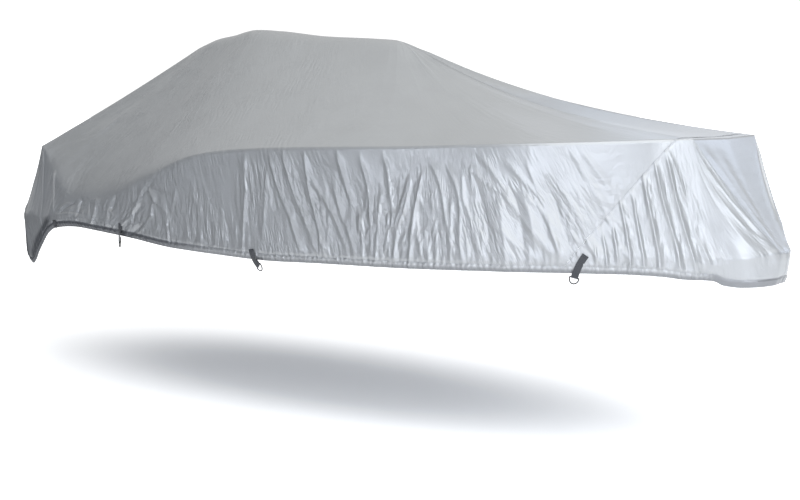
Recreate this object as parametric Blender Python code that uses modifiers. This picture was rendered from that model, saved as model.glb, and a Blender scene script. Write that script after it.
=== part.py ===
"""Fitted cover for an open boat with a bow rail, as it hangs on the boat, which is left out.

The cloth is one sheet over a tent-like top, folded down over the bow rail and the gunwale to
an elastic hem. A nose panel is sewn on across the bow, and webbing tabs, most of them with a
D ring, hang from the hem on both sides.

Every line below runs half way round the boat, from the middle of the stern to the middle of
the bow. Column s is the distance along the hem in metres, x is measured forward from the
transom, out from the centreline, and z up from the hem amidships.
"""

import math

import bmesh
import bpy
import numpy as np
from mathutils import Matrix, Vector

# ---- driving sizes, in metres
CLOTH = 0.0025              # one layer of coated polyester with its small crumples
GAP = 0.0003                # between pieces that touch
BAND = 0.035                # height of the elastic hem
TUCK = 0.012                # how far the elastic draws the hem in
PEAK_X = 1.11               # the highest support under the top, forward of the transom
PEAK_Z = 1.320              # top of the cloth there, above the hem amidships
RIDGE_ROUND = 0.10          # share of each top strip that bends over the ridge
S_END = 6.50                # s at the middle of the bow

# ---- the nose panel is sewn on along one plane, seen from the side as a straight line
SEAM_TOP = (4.300, 0.690)   # x, z
SEAM_FOOT = (3.850, 0.030)  # x, z
CUTTER = 4.0                # side of the blocks that cut the two panels

# ---- webbing and rings
WEB_WIDTH = 0.036
WEB_THICK = 0.0016
WEB_CLEAR = 0.0030          # between the cloth and the webbing
WIRE = 0.0027               # radius of the ring's wire
LOOP = 0.0041               # radius of the webbing's middle round the wire
RING_HALF = 0.0235          # half width of a D ring, to the middle of its wire
RING_CORNER = 0.004
RING_STEPS = 14             # straight pieces in the D's bow
LOOP_STEPS = 6              # straight pieces in the webbing's turn round the wire
RING_DROP = 0.033           # from the bar to the bottom of the D

HEM_LINE = (
    # s, x, out, z
    (0.00, -0.360, 0.000, 0.060),
    (0.50, -0.350, 0.500, 0.055),
    (0.80, -0.298, 0.800, 0.020),
    (0.98, -0.258, 0.835, -0.162),
    (1.05, -0.222, 0.845, -0.210),
    (1.11, -0.175, 0.860, -0.226),
    (1.17, -0.125, 0.876, -0.200),
    (1.26, -0.060, 0.900, -0.140),
    (1.39, 0.030, 0.930, -0.066),
    (1.53, 0.140, 0.965, 0.012),
    (1.64, 0.240, 0.990, 0.050),
    (1.90, 0.495, 1.020, 0.073),
    (2.09, 0.690, 1.030, 0.063),
    (2.41, 1.000, 1.040, 0.042),
    (2.82, 1.410, 1.058, 0.008),
    (3.18, 1.770, 1.062, -0.002),
    (3.53, 2.120, 1.060, -0.008),
    (3.93, 2.520, 1.040, 0.004),
    (4.44, 3.030, 0.998, 0.015),
    (4.93, 3.510, 0.910, 0.029),
    (5.33, 3.880, 0.762, 0.034),
    (5.59, 4.100, 0.622, 0.031),
    (5.79, 4.250, 0.505, 0.020),
    (5.92, 4.355, 0.410, 0.002),
    (6.07, 4.450, 0.300, -0.010),
    (6.13, 4.494, 0.274, -0.032),
    (6.24, 4.575, 0.225, -0.041),
    (6.35, 4.640, 0.150, -0.040),
    (6.42, 4.680, 0.062, -0.036),
    (6.50, 4.684, 0.000, -0.034),
)

KNEE_LINE = (
    # s, x, out, z: the gunwale, and at the bow the top edge of the anchor platform
    (0.00, -0.378, 0.000, 0.140),
    (0.50, -0.366, 0.500, 0.132),
    (0.80, -0.306, 0.812, 0.100),
    (1.11, -0.200, 0.885, 0.096),
    (1.39, 0.030, 0.958, 0.100),
    (1.64, 0.240, 1.006, 0.128),
    (1.90, 0.480, 1.034, 0.156),
    (2.41, 0.990, 1.050, 0.126),
    (2.82, 1.405, 1.066, 0.096),
    (3.53, 2.115, 1.067, 0.082),
    (3.93, 2.515, 1.049, 0.094),
    (4.44, 3.035, 1.006, 0.108),
    (4.93, 3.517, 0.918, 0.114),
    (5.33, 3.890, 0.769, 0.116),
    (5.59, 4.110, 0.630, 0.118),
    (5.92, 4.362, 0.418, 0.096),
    (6.07, 4.475, 0.315, 0.070),
    (6.24, 4.590, 0.222, 0.108),
    (6.35, 4.655, 0.130, 0.122),
    (6.42, 4.700, 0.060, 0.124),
    (6.50, 4.705, 0.000, 0.118),
)

RAIL_LINE = (
    # s, x, out, z: the upper fold, over the stern corner, the gunwale and the bow rail
    (0.00, -0.170, 0.000, 0.520),
    (0.50, -0.150, 0.500, 0.542),
    (0.80, -0.080, 0.826, 0.560),
    (1.39, -0.072, 0.830, 0.560),
    (1.50, 0.035, 0.876, 0.488),
    (1.64, 0.160, 0.930, 0.405),
    (1.77, 0.285, 0.976, 0.322),
    (1.90, 0.420, 1.012, 0.258),
    (2.25, 0.680, 1.040, 0.264),
    (2.45, 0.870, 1.050, 0.305),
    (2.61, 1.030, 1.055, 0.372),
    (2.81, 1.250, 1.055, 0.453),
    (3.00, 1.470, 1.055, 0.531),
    (3.20, 1.680, 1.052, 0.572),
    (3.53, 2.080, 1.048, 0.605),
    (4.00, 2.560, 1.030, 0.624),
    (4.44, 3.034, 0.985, 0.638),
    (4.93, 3.470, 0.910, 0.657),
    (5.20, 3.739, 0.832, 0.667),
    (5.40, 3.921, 0.745, 0.674),
    (5.59, 4.085, 0.640, 0.680),
    (5.79, 4.230, 0.530, 0.686),
    (6.00, 4.325, 0.425, 0.689),
    (6.10, 4.358, 0.392, 0.690),
    (6.42, 4.360, 0.390, 0.690),
    (6.50, 4.374, 0.000, 0.684),
)

RIDGE_LINE = (
    # s, x, z, sag: where each strip of the top ends on the centreline, and how far it hangs
    (0.00, 0.680, 1.222, 0.036),
    (1.39, 0.708, 1.240, 0.016),
    (1.90, 0.790, 1.271, 0.010),
    (2.45, 0.930, 1.291, 0.008),
    (2.81, 1.110, 1.320, 0.008),
    (3.20, 1.350, 1.304, 0.012),
    (3.53, 1.700, 1.264, 0.016),
    (4.00, 2.050, 1.243, 0.026),
    (4.44, 2.260, 1.226, 0.044),
    (5.00, 2.300, 1.212, 0.078),
    (5.59, 2.320, 1.200, 0.094),
    (6.00, 2.325, 1.197, 0.097),
    (6.42, 2.325, 1.197, 0.097),
    (6.50, 2.325, 1.197, 0.128),
)

COLUMN_STEPS = (
    # s where a stretch of the loft begins, and the width of its strips
    (0.00, 0.200),
    (0.80, 0.098),
    (1.39, 0.062),
    (1.90, 0.085),
    (5.30, 0.062),
    (6.10, 0.080),
)
SKIRT_ROWS = (0.25, 0.50, 0.76, 1.00)            # shares of the way from the knee to the rail
TOP_ROWS = (0.16, 0.36, 0.58, 0.78, 0.92, 1.00)  # shares of the way from the rail to the ridge
RAIL_EASE = (-0.45, -0.30, -0.15, 0.0, 0.15, 0.30, 0.45)  # spread of s the top averages
EASE_IN = (1.40, 1.60)      # s where that averaging sets in
EASE_OUT = (3.80, 4.40)     # s where it dies away
SAG_LEAN = 0.4              # how much nearer the ridge than the rail the top hangs lowest
SKIRT_HOLLOW = 0.010        # how far the skirt hangs in between the gunwale and the rail
FRONT_HOLLOW = 0.030        # the same on the bow's front face
FRONT = (6.30, 6.45)        # s where the skirt turns into the front face

MAIN_FOLDS = (
    # s at the hem, s at the rail, lowest and highest share of the skirt, height, width
    (0.30, 0.30, 0.00, 0.80, 0.008, 0.12),
    (1.75, 1.70, 0.00, 0.90, -0.010, 0.07),
    (2.05, 2.05, 0.00, 0.70, 0.010, 0.07),
    (2.40, 2.55, 0.00, 1.00, -0.012, 0.09),
    (2.70, 2.60, 0.00, 1.00, 0.012, 0.08),
    (3.02, 3.02, 0.00, 1.00, 0.012, 0.07),
    (3.38, 3.36, 0.00, 0.90, 0.012, 0.08),
    (3.62, 3.56, 0.10, 1.00, -0.010, 0.08),
    (3.92, 3.76, 0.00, 0.90, 0.013, 0.08),
    (4.20, 4.22, 0.00, 0.80, 0.015, 0.07),
    (4.40, 4.48, 0.00, 1.00, -0.012, 0.08),
    (4.66, 4.40, 0.00, 0.90, 0.013, 0.08),
    (4.98, 4.62, 0.00, 0.95, 0.014, 0.08),
    (5.22, 4.86, 0.00, 1.00, -0.012, 0.07),
)
PLEATS = (
    # s at the hem, s at the rail, lowest and highest share of the skirt, height, width
    (5.52, 5.62, 0.00, 0.60, 0.012, 0.035),
    (5.64, 5.74, 0.00, 0.70, -0.012, 0.035),
    (5.76, 5.84, 0.00, 0.80, 0.014, 0.035),
    (5.88, 5.90, 0.00, 0.90, -0.014, 0.035),
    (6.00, 5.97, 0.00, 0.95, 0.014, 0.035),
)
PORT_SHIFT = 0.06           # the port folds fall this far from the starboard ones, by turns
FOLD_TOP = 0.30             # share of the skirt's height over which a fold dies out upward
FOLD_FOOT = 0.15            # the same downward
FLAT_HALF = 0.085           # half width of the calm cloth behind each tab
FLAT_TOP = (0.25, 0.45)     # share of the skirt's height where that calm cloth ends

TABS = (
    # name, s, length on the cloth, length below the hem, then in degrees the lean forward
    # where it is sewn on and where it hangs, and the twist that it hangs with, has a ring
    ("quarter", 1.655, 0.048, 0.004, 6.0, 6.0, 0.0, False),
    ("aft", 2.335, 0.076, 0.044, -20.0, -20.0, 30.0, True),
    ("mid", 3.475, 0.060, 0.050, 8.0, 42.0, 14.0, True),
    ("fore", 5.377, 0.104, 0.028, -30.0, -12.0, 0.0, True),
)
ABOVE_STEPS, BELOW_STEPS = 5, 4   # straight pieces in a tab's front, above and below the hem
TAB_SPAN = 0.02             # half of the stretch of hem that a tab lines up with
SIDES = (("starboard", -1.0), ("port", 1.0))


def clear_scene():
    for thing in list(bpy.data.objects):
        bpy.data.objects.remove(thing, do_unlink=True)


def collection(name):
    made = bpy.data.collections.new(name)
    bpy.context.scene.collection.children.link(made)
    return made


def material(name, colour, roughness, metallic):
    made = bpy.data.materials.new(name)
    made.use_nodes = True
    shader = made.node_tree.nodes["Principled BSDF"]
    shader.inputs["Base Color"].default_value = (*colour, 1.0)
    shader.inputs["Roughness"].default_value = roughness
    shader.inputs["Metallic"].default_value = metallic
    made.diffuse_color = (*colour, 1.0)
    return made


def smooth_line(rows, s):
    """Cubic curve through the rows' columns that never swings past a row."""
    table = np.array(rows)
    knots, values = table[:, 0], table[:, 1:]
    step = np.diff(knots)[:, None]
    slope = np.diff(values, axis=0) / step
    tangent = np.vstack((slope[:1], np.zeros_like(slope[1:]), slope[-1:]))
    before, after = slope[:-1], slope[1:]
    same_way = before * after > 0.0
    near, far = 2 * step[1:] + step[:-1], step[1:] + 2 * step[:-1]
    with np.errstate(divide="ignore", invalid="ignore"):
        mean = (near + far) / (near / before + far / after)
    tangent[1:-1] = np.where(same_way, mean, 0.0)
    s = np.clip(s, knots[0], knots[-1])
    i = np.clip(np.searchsorted(knots, s, side="right") - 1, 0, len(knots) - 2)
    h = step[i]
    t = ((s - knots[i]) / h[:, 0])[:, None]
    rise = t * t * (3 - 2 * t)
    return (values[i] * (1 - rise) + values[i + 1] * rise
            + h * tangent[i] * t * (1 - t) ** 2 - h * tangent[i + 1] * t * t * (1 - t))


def column_places():
    """The s of every strip edge, closer together where the cloth is folded more."""
    starts = [row[0] for row in COLUMN_STEPS] + [S_END]
    places = [0.0]
    for (start, width), end in zip(COLUMN_STEPS, starts[1:]):
        count = max(1, round((end - start) / width))
        places += [start + (end - start) * (k + 1) / count for k in range(count)]
    return np.array(places)


def side_points(line, s, side):
    """A line's points in the part's own frame: x forward, y to port, z up from the peak."""
    found = smooth_line(line, s)
    return np.column_stack((found[:, 0] - PEAK_X, side * found[:, 1], found[:, 2] - PEAK_Z + CLOTH))


def ramp(x, start, end):
    """Smooth rise from 0 at start to 1 at end, in whichever order they come."""
    t = np.clip((x - start) / (end - start), 0.0, 1.0)
    return t * t * (3 - 2 * t)


def hang(share):
    """Depth of a hanging strip at this share of its length, 1 at its middle."""
    return 4 * share * (1 - share)


def outward(hem, side):
    """Level unit vector pointing away from the boat at each point of the hem."""
    along = np.gradient(hem, axis=0)
    normal = np.column_stack((-side * along[:, 1], side * along[:, 0], np.zeros(len(hem))))
    return normal / np.linalg.norm(normal, axis=1)[:, None]


def skirt_rows(s, side):
    """Rows of points from the hem up to the rail."""
    hem = side_points(HEM_LINE, s, side)
    knee = side_points(KNEE_LINE, s, side)
    rail = side_points(RAIL_LINE, s, side)
    out = outward(hem, side)
    band_top = hem + (knee - hem) * (BAND / np.linalg.norm(knee - hem, axis=1))[:, None]
    hollow = SKIRT_HOLLOW + (FRONT_HOLLOW - SKIRT_HOLLOW) * ramp(s, *FRONT)
    rows = [hem - out * TUCK, band_top, knee]
    for share in SKIRT_ROWS:
        dip = hang(share) * hollow
        rows.append(knee + (rail - knee) * share - out * dip[:, None])
    return rows, out


def top_rows(s, side):
    """Rows of points from the rail up to the ridge, rounded over at the ridge."""
    rail = side_points(RAIL_LINE, s, side)
    spread = [side_points(RAIL_LINE, s + shift, side) for shift in RAIL_EASE]
    eased = sum(spread) / len(spread)
    end = smooth_line(RIDGE_LINE, s)
    height = end[:, 1] - PEAK_Z + CLOTH
    climb = (height - rail[:, 2]) * RIDGE_ROUND
    aim = np.column_stack((end[:, 0] - PEAK_X, 0 * s, height + climb / 2))
    sag = end[:, 2]
    ease = ramp(s, *EASE_IN) * (1 - ramp(s, *EASE_OUT))
    rows = []
    for share in TOP_ROWS:
        point = rail + (eased - rail) * hang(share) * ease[:, None]
        point += (aim - point) * share
        over = max(0.0, share - 1 + RIDGE_ROUND) / RIDGE_ROUND
        point[:, 2] -= hang(share) * (1 + SAG_LEAN * (share - 0.5)) * sag
        point[:, 2] -= climb * over * over / 2
        rows.append(point)
    return rows


def fold_height(s, share, side):
    """How far the folds lift the cloth at s and at this share of the skirt's height."""
    height = np.zeros_like(s)
    for number, row in enumerate(MAIN_FOLDS + PLEATS):
        at_hem, at_rail, low, high, lift, width = row
        turn = PORT_SHIFT * (1 if number % 2 else -1) if side > 0 else 0.0
        middle = at_hem + turn + (at_rail - at_hem) * share
        fade = ramp(share, high, high - FOLD_TOP) * ramp(share, low - FOLD_FOOT, low)
        height += lift * fade * np.exp(-((s - middle) / width) ** 2)
    for tab in TABS:
        flat = np.exp(-((s - tab[1]) / FLAT_HALF) ** 2) * (1 - ramp(share, *FLAT_TOP))
        height *= 1 - flat
    return height


def cloth_grid(s, side):
    """All points of one side of the cover, a row for each height."""
    skirt, out = skirt_rows(s, side)
    count = len(skirt) - 1
    for number, row in enumerate(skirt[1:-1], start=1):
        row += out * fold_height(s, number / count, side)[:, None]
    return skirt + top_rows(s, side)


def cloth_sheet(name):
    """Open sheet lofted from the hem to the ridge on both sides, faces pointing out."""
    s = column_places()
    bm = bmesh.new()
    for _, side in SIDES:
        rows = [[bm.verts.new(point) for point in row] for row in cloth_grid(s, side)]
        for low, high in zip(rows, rows[1:]):
            for a, b, c, d in zip(low, low[1:], high[1:], high):
                bm.faces.new((a, b, c, d) if side < 0 else (d, c, b, a))
    bmesh.ops.remove_doubles(bm, verts=bm.verts, dist=0.0001)
    bmesh.ops.dissolve_degenerate(bm, edges=bm.edges, dist=0.0001)
    bmesh.ops.triangulate(bm, faces=bm.faces)
    mesh = bpy.data.meshes.new(name)
    bm.to_mesh(mesh)
    bm.free()
    return mesh


def add_object(name, mesh, group, finish=None):
    thing = bpy.data.objects.new(name, mesh)
    group.objects.link(thing)
    if finish:
        mesh.materials.append(finish)
    return thing


def seam_cutter(name, offset, group):
    """Block on the bow side of the seam's plane, moved forward by offset."""
    (x1, z1), (x0, z0) = SEAM_TOP, SEAM_FOOT
    angle = math.atan2(x1 - x0, z1 - z0)
    bm = bmesh.new()
    bmesh.ops.create_cube(bm, size=CUTTER)
    bmesh.ops.translate(bm, verts=bm.verts, vec=(CUTTER / 2 + offset, 0.0, 0.0))
    mesh = bpy.data.meshes.new(name)
    bm.to_mesh(mesh)
    bm.free()
    block = add_object(name, mesh, group)
    foot = Vector((x0 - PEAK_X, 0.0, z0 - PEAK_Z + CLOTH))
    block.matrix_world = Matrix.Translation(foot) @ Matrix.Rotation(angle, 4, "Y")
    block.hide_render = True
    block.display_type = "WIRE"
    return block


def panel(name, operation, cutter, group, finish):
    """The whole sheet with its thickness, cut to one side of the seam."""
    thing = add_object(name, cloth_sheet(name), group, finish)
    thick = thing.modifiers.new("thickness", "SOLIDIFY")
    thick.thickness = CLOTH
    thick.offset = -1.0
    cut = thing.modifiers.new("seam", "BOOLEAN")
    cut.operation = operation
    cut.object = cutter
    cut.solver = "EXACT"
    return thing


def rotated(first, second, angle):
    """Two square directions turned by an angle in their own plane."""
    turn, rise = math.cos(angle), math.sin(angle)
    return first * turn + second * rise, second * turn - first * rise


def tab_directions(s, side):
    """Foot of a tab on the hem, and the ways that the cloth falls, runs forward and faces."""
    near = np.array([s - TAB_SPAN, s, s + TAB_SPAN])
    hem = side_points(HEM_LINE, near, side)
    knee = side_points(KNEE_LINE, near, side)
    fall = Vector(hem[1] - knee[1]).normalized()
    level = Vector(hem[2] - hem[0])
    level = (level - fall * level.dot(fall)).normalized()
    return Vector(hem[1]), fall, level, (level.cross(fall) * side).normalized()


def tab_places(s, side, above, below, lean, swing, twist):
    """Places down a tab's front: the point, and the ways down, across and out there."""
    foot, fall, level, out = tab_directions(s, side)

    def heading(depth):
        bent = lean + (swing - lean) * float(ramp(depth, -above, below))
        return rotated(fall, level, math.radians(bent))

    def walk(end, steps):
        point, found = foot, []
        for step in range(1, steps + 1):
            point = point + heading(end * (step - 0.5) / steps)[0] * (end / steps)
            found.append((end * step / steps, point))
        return found

    places = []
    for depth, point in walk(-above, ABOVE_STEPS)[::-1] + [(0.0, foot)] + walk(below, BELOW_STEPS):
        down, sideways = heading(depth)
        turned = math.radians(twist) * float(ramp(depth, -above, 0.0))
        across, facing = rotated(sideways, out, turned)
        stand = WEB_CLEAR + WEB_THICK + math.sin(turned) * WEB_WIDTH / 2
        places.append((point + out * stand, down, across, facing))
    return places


def tab_route(places, has_ring):
    """A tab's webbing, as middle points with the way across it: down, round the bar, up behind."""
    route = [(point, across) for point, _, across, _ in places]
    if not has_ring:
        return route, None
    point, down, across, facing = places[-1]
    bar = point - facing * LOOP
    for step in range(1, LOOP_STEPS + 1):
        turn = math.pi * step / LOOP_STEPS
        around = facing * math.cos(turn) + down * math.sin(turn)
        route.append((bar + around * LOOP, across))
    for point, _, sideways, facing in places[-2:-BELOW_STEPS - 1:-1]:
        route.append((point - facing * (2 * LOOP), sideways))
    return route, (bar, down, across)


def ribbon(name, route, group, finish):
    """Flat webbing along a route, centred on it."""
    bm = bmesh.new()
    half = WEB_WIDTH / 2
    edges = [(bm.verts.new(p - across * half), bm.verts.new(p + across * half)) for p, across in route]
    for (a, b), (c, d) in zip(edges, edges[1:]):
        bm.faces.new((a, c, d, b))
    mesh = bpy.data.meshes.new(name)
    bm.to_mesh(mesh)
    bm.free()
    thing = add_object(name, mesh, group, finish)
    thick = thing.modifiers.new("thickness", "SOLIDIFY")
    thick.thickness = WEB_THICK
    thick.offset = 0.0
    thick.use_even_offset = True
    return thing


def ring_outline():
    """Middle line of a D ring's wire: across from the bar's middle, and down from the bar."""
    corner, cut = RING_CORNER, RING_CORNER * (1 - math.sqrt(0.5))
    points = [(-RING_HALF + corner, 0.0), (0.0, 0.0), (RING_HALF - corner, 0.0)]
    points.append((RING_HALF - cut, cut))
    bow = [math.pi * k / RING_STEPS for k in range(RING_STEPS + 1)]
    depth = RING_DROP - corner
    points += [(RING_HALF * math.cos(t), corner + depth * math.sin(t)) for t in bow]
    points.append((-RING_HALF + cut, cut))
    return points


def ring(name, bar, down, across, group, finish):
    """D ring of round wire hanging by its straight bar."""
    curve = bpy.data.curves.new(name, "CURVE")
    curve.dimensions = "3D"
    curve.bevel_depth = WIRE
    curve.bevel_resolution = 2
    outline = ring_outline()
    spline = curve.splines.new("POLY")
    spline.points.add(len(outline) - 1)
    spline.use_cyclic_u = True
    for point, (sideways, drop) in zip(spline.points, outline):
        point.co = (*(bar + across * sideways + down * drop), 1.0)
    curve.materials.append(finish)
    thing = bpy.data.objects.new(name, curve)
    group.objects.link(thing)
    return thing


def tabs(group, webbing, steel):
    """A webbing tab at each place on both sides, and the ring that hangs from it."""
    for side_name, side in SIDES:
        for name, s, above, below, lean, swing, twist, has_ring in TABS:
            end = below - LOOP if has_ring else below
            places = tab_places(s, side, above, end, lean, swing, twist)
            route, place = tab_route(places, has_ring)
            ribbon(f"tab_{side_name}_{name}", route, group, webbing)
            if has_ring:
                ring(f"ring_{side_name}_{name}", *place, group, steel)


def build():
    clear_scene()
    cover = collection("boat_cover")
    cutters = collection("cutters")
    cloth = material("silver_coated_polyester", (0.56, 0.60, 0.64), 0.45, 0.3)
    nose = material("silver_coated_polyester_nose", (0.62, 0.66, 0.70), 0.45, 0.3)
    webbing = material("slate_webbing", (0.08, 0.09, 0.11), 0.8, 0.0)
    steel = material("plated_steel_wire", (0.35, 0.36, 0.37), 0.3, 1.0)
    panel("cover_body", "DIFFERENCE", seam_cutter("body_cutter", -GAP / 2, cutters), cover, cloth)
    panel("nose_panel", "INTERSECT", seam_cutter("nose_cutter", GAP / 2, cutters), cover, nose)
    tabs(cover, webbing, steel)


build()
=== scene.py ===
# %% [markdown]
# # A fitted boat cover
# The real object is a silver cover of coated polyester for a small open boat. It is held up
# like a tent, falls over the bow rail and the gunwale, and is drawn in under the hull by an
# elastic hem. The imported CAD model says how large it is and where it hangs, so it is loaded
# first as a fixed frame, and every piece below is made in its place, in metres.

# %% Load the frame
import math

import bmesh
import bpy
import numpy as np
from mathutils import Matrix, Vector
from mathutils.bvhtree import BVHTree


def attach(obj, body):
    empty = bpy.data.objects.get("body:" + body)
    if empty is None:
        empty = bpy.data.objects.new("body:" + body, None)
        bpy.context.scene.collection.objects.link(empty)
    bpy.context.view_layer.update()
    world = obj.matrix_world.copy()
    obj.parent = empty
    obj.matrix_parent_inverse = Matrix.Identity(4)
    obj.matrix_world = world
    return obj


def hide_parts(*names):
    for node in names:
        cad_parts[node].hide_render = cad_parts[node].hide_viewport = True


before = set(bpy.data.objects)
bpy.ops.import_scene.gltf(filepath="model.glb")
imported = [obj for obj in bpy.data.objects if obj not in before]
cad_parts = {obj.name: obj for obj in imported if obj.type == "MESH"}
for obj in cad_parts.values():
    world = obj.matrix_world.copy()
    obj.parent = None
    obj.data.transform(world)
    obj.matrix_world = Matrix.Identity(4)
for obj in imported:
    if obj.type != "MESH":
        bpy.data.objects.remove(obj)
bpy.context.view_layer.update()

# %% [markdown]
# ## The lines that the cloth hangs on
# A cover is cut to the boat, so four lines give its shape: the hem, the gunwale, the rail
# over which it folds, and the ridge of the tent. Each is a short table along the hem, from
# the middle of the stern (s = 0) to the middle of the bow. Column x is forward of the
# transom, out is from the centreline and z is up from the hem amidships. The frame's own
# origin is under the peak, so one shift takes a point from the boat to the frame.

# %% Sizes and lines, in metres
PEAK = np.array((1.11, 0.0, 1.3175))    # the frame's origin, on the boat
S_END = 6.50                            # s at the middle of the bow
BAND = 0.035                            # height of the elastic hem
TUCK = 0.005                            # how far the elastic draws the hem in
RIDGE_ROUND = 0.10                      # share of the top that bends over the ridge
SEAM_TOP, SEAM_FOOT = (4.300, 0.690), (3.850, 0.030)    # x, z of the nose panel's seam
SIDES = (("starboard", -1.0), ("port", 1.0))

HEM_LINE = (
    # s, x, out, z
    (0.00, -0.360, 0.000, 0.060),
    (0.50, -0.350, 0.500, 0.055),
    (0.80, -0.298, 0.800, 0.020),
    (0.98, -0.258, 0.835, -0.162),
    (1.05, -0.222, 0.845, -0.210),
    (1.11, -0.175, 0.860, -0.226),
    (1.17, -0.125, 0.876, -0.200),
    (1.26, -0.060, 0.900, -0.140),
    (1.39, 0.030, 0.930, -0.066),
    (1.53, 0.140, 0.965, 0.012),
    (1.64, 0.240, 0.990, 0.050),
    (1.90, 0.495, 1.020, 0.073),
    (2.09, 0.690, 1.030, 0.063),
    (2.41, 1.000, 1.040, 0.042),
    (2.82, 1.410, 1.058, 0.008),
    (3.18, 1.770, 1.062, -0.002),
    (3.53, 2.120, 1.060, -0.008),
    (3.93, 2.520, 1.040, 0.004),
    (4.44, 3.030, 0.998, 0.015),
    (4.93, 3.510, 0.910, 0.029),
    (5.33, 3.880, 0.762, 0.034),
    (5.59, 4.100, 0.622, 0.031),
    (5.79, 4.250, 0.505, 0.020),
    (5.92, 4.355, 0.410, 0.002),
    (6.07, 4.450, 0.300, -0.010),
    (6.13, 4.494, 0.274, -0.032),
    (6.24, 4.575, 0.225, -0.041),
    (6.35, 4.640, 0.150, -0.040),
    (6.42, 4.680, 0.062, -0.036),
    (6.50, 4.684, 0.000, -0.034),
)
KNEE_LINE = (
    # s, x, out, z: the gunwale, and at the bow the top edge of the anchor platform
    (0.00, -0.378, 0.000, 0.140),
    (0.50, -0.366, 0.500, 0.132),
    (0.80, -0.306, 0.812, 0.100),
    (1.11, -0.200, 0.885, 0.096),
    (1.39, 0.030, 0.958, 0.100),
    (1.64, 0.240, 1.006, 0.128),
    (1.90, 0.480, 1.034, 0.156),
    (2.41, 0.990, 1.050, 0.126),
    (2.82, 1.405, 1.066, 0.096),
    (3.53, 2.115, 1.067, 0.082),
    (3.93, 2.515, 1.049, 0.094),
    (4.44, 3.035, 1.006, 0.108),
    (4.93, 3.517, 0.918, 0.114),
    (5.33, 3.890, 0.769, 0.116),
    (5.59, 4.110, 0.630, 0.118),
    (5.92, 4.362, 0.418, 0.096),
    (6.07, 4.475, 0.315, 0.070),
    (6.24, 4.590, 0.222, 0.108),
    (6.35, 4.655, 0.130, 0.122),
    (6.42, 4.700, 0.060, 0.124),
    (6.50, 4.705, 0.000, 0.118),
)
RAIL_LINE = (
    # s, x, out, z: the upper fold, over the stern corner, the gunwale and the bow rail
    (0.00, -0.170, 0.000, 0.520),
    (0.50, -0.150, 0.500, 0.542),
    (0.80, -0.080, 0.826, 0.560),
    (1.39, -0.072, 0.830, 0.560),
    (1.50, 0.035, 0.876, 0.488),
    (1.64, 0.160, 0.930, 0.405),
    (1.77, 0.285, 0.976, 0.322),
    (1.90, 0.420, 1.012, 0.258),
    (2.25, 0.680, 1.040, 0.264),
    (2.45, 0.870, 1.050, 0.305),
    (2.61, 1.030, 1.055, 0.372),
    (2.81, 1.250, 1.055, 0.453),
    (3.00, 1.470, 1.055, 0.531),
    (3.20, 1.680, 1.052, 0.572),
    (3.53, 2.080, 1.048, 0.605),
    (4.00, 2.560, 1.030, 0.624),
    (4.44, 3.034, 0.985, 0.638),
    (4.93, 3.470, 0.910, 0.657),
    (5.20, 3.739, 0.832, 0.667),
    (5.40, 3.921, 0.745, 0.674),
    (5.59, 4.085, 0.640, 0.680),
    (5.79, 4.230, 0.530, 0.686),
    (6.00, 4.325, 0.425, 0.689),
    (6.10, 4.358, 0.392, 0.690),
    (6.42, 4.360, 0.390, 0.690),
    (6.50, 4.374, 0.000, 0.684),
)
RIDGE_LINE = (
    # s, x, z, sag: where each strip of the top ends on the centreline, and how far it hangs
    (0.00, 0.680, 1.222, 0.036),
    (1.39, 0.708, 1.240, 0.016),
    (1.90, 0.790, 1.271, 0.010),
    (2.45, 0.930, 1.291, 0.008),
    (2.81, 1.110, 1.320, 0.008),
    (3.20, 1.350, 1.304, 0.012),
    (3.53, 1.700, 1.264, 0.016),
    (4.00, 2.050, 1.243, 0.026),
    (4.44, 2.260, 1.226, 0.044),
    (5.00, 2.300, 1.212, 0.078),
    (5.59, 2.320, 1.200, 0.094),
    (6.00, 2.325, 1.197, 0.097),
    (6.42, 2.325, 1.197, 0.097),
    (6.50, 2.325, 1.197, 0.128),
)
TABS = (
    # name, s, length on the cloth, length below the hem, then in degrees the lean forward
    # where it is sewn on and where it hangs, and the twist that it hangs with, has a ring
    ("quarter", 1.655, 0.048, 0.004, 6.0, 6.0, 0.0, False),
    ("aft", 2.335, 0.076, 0.044, -20.0, -20.0, 30.0, True),
    ("mid", 3.475, 0.060, 0.050, 8.0, 42.0, 14.0, True),
    ("fore", 5.377, 0.104, 0.028, -30.0, -12.0, 0.0, True),
)
print("hem, half way round:", S_END, "m")

# %% [markdown]
# ## Curves through the tables
# A taut hem bends smoothly but never swings out past a point that holds it. A monotone cubic
# does the same: it passes through every row and doesn't overshoot, which a plain spline does
# beside a corner.

# %% Curve helpers
def smooth_line(rows, s):
    """Cubic curve through the rows' columns that never swings past a row."""
    table = np.array(rows)
    knots, values = table[:, 0], table[:, 1:]
    step = np.diff(knots)[:, None]
    slope = np.diff(values, axis=0) / step
    tangent = np.vstack((slope[:1], np.zeros_like(slope[1:]), slope[-1:]))
    before, after = slope[:-1], slope[1:]
    near, far = 2 * step[1:] + step[:-1], step[1:] + 2 * step[:-1]
    with np.errstate(divide="ignore", invalid="ignore"):
        mean = (near + far) / (near / before + far / after)
    tangent[1:-1] = np.where(before * after > 0.0, mean, 0.0)
    s = np.clip(s, knots[0], knots[-1])
    i = np.clip(np.searchsorted(knots, s, side="right") - 1, 0, len(knots) - 2)
    h = step[i]
    t = ((s - knots[i]) / h[:, 0])[:, None]
    rise = t * t * (3 - 2 * t)
    return (values[i] * (1 - rise) + values[i + 1] * rise
            + h * tangent[i] * t * (1 - t) ** 2 - h * tangent[i + 1] * t * t * (1 - t))


def side_points(line, s, side):
    """A line's points in the frame, on one side of the boat."""
    found = smooth_line(line, s)
    return np.column_stack((found[:, 0], side * found[:, 1], found[:, 2])) - PEAK


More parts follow.
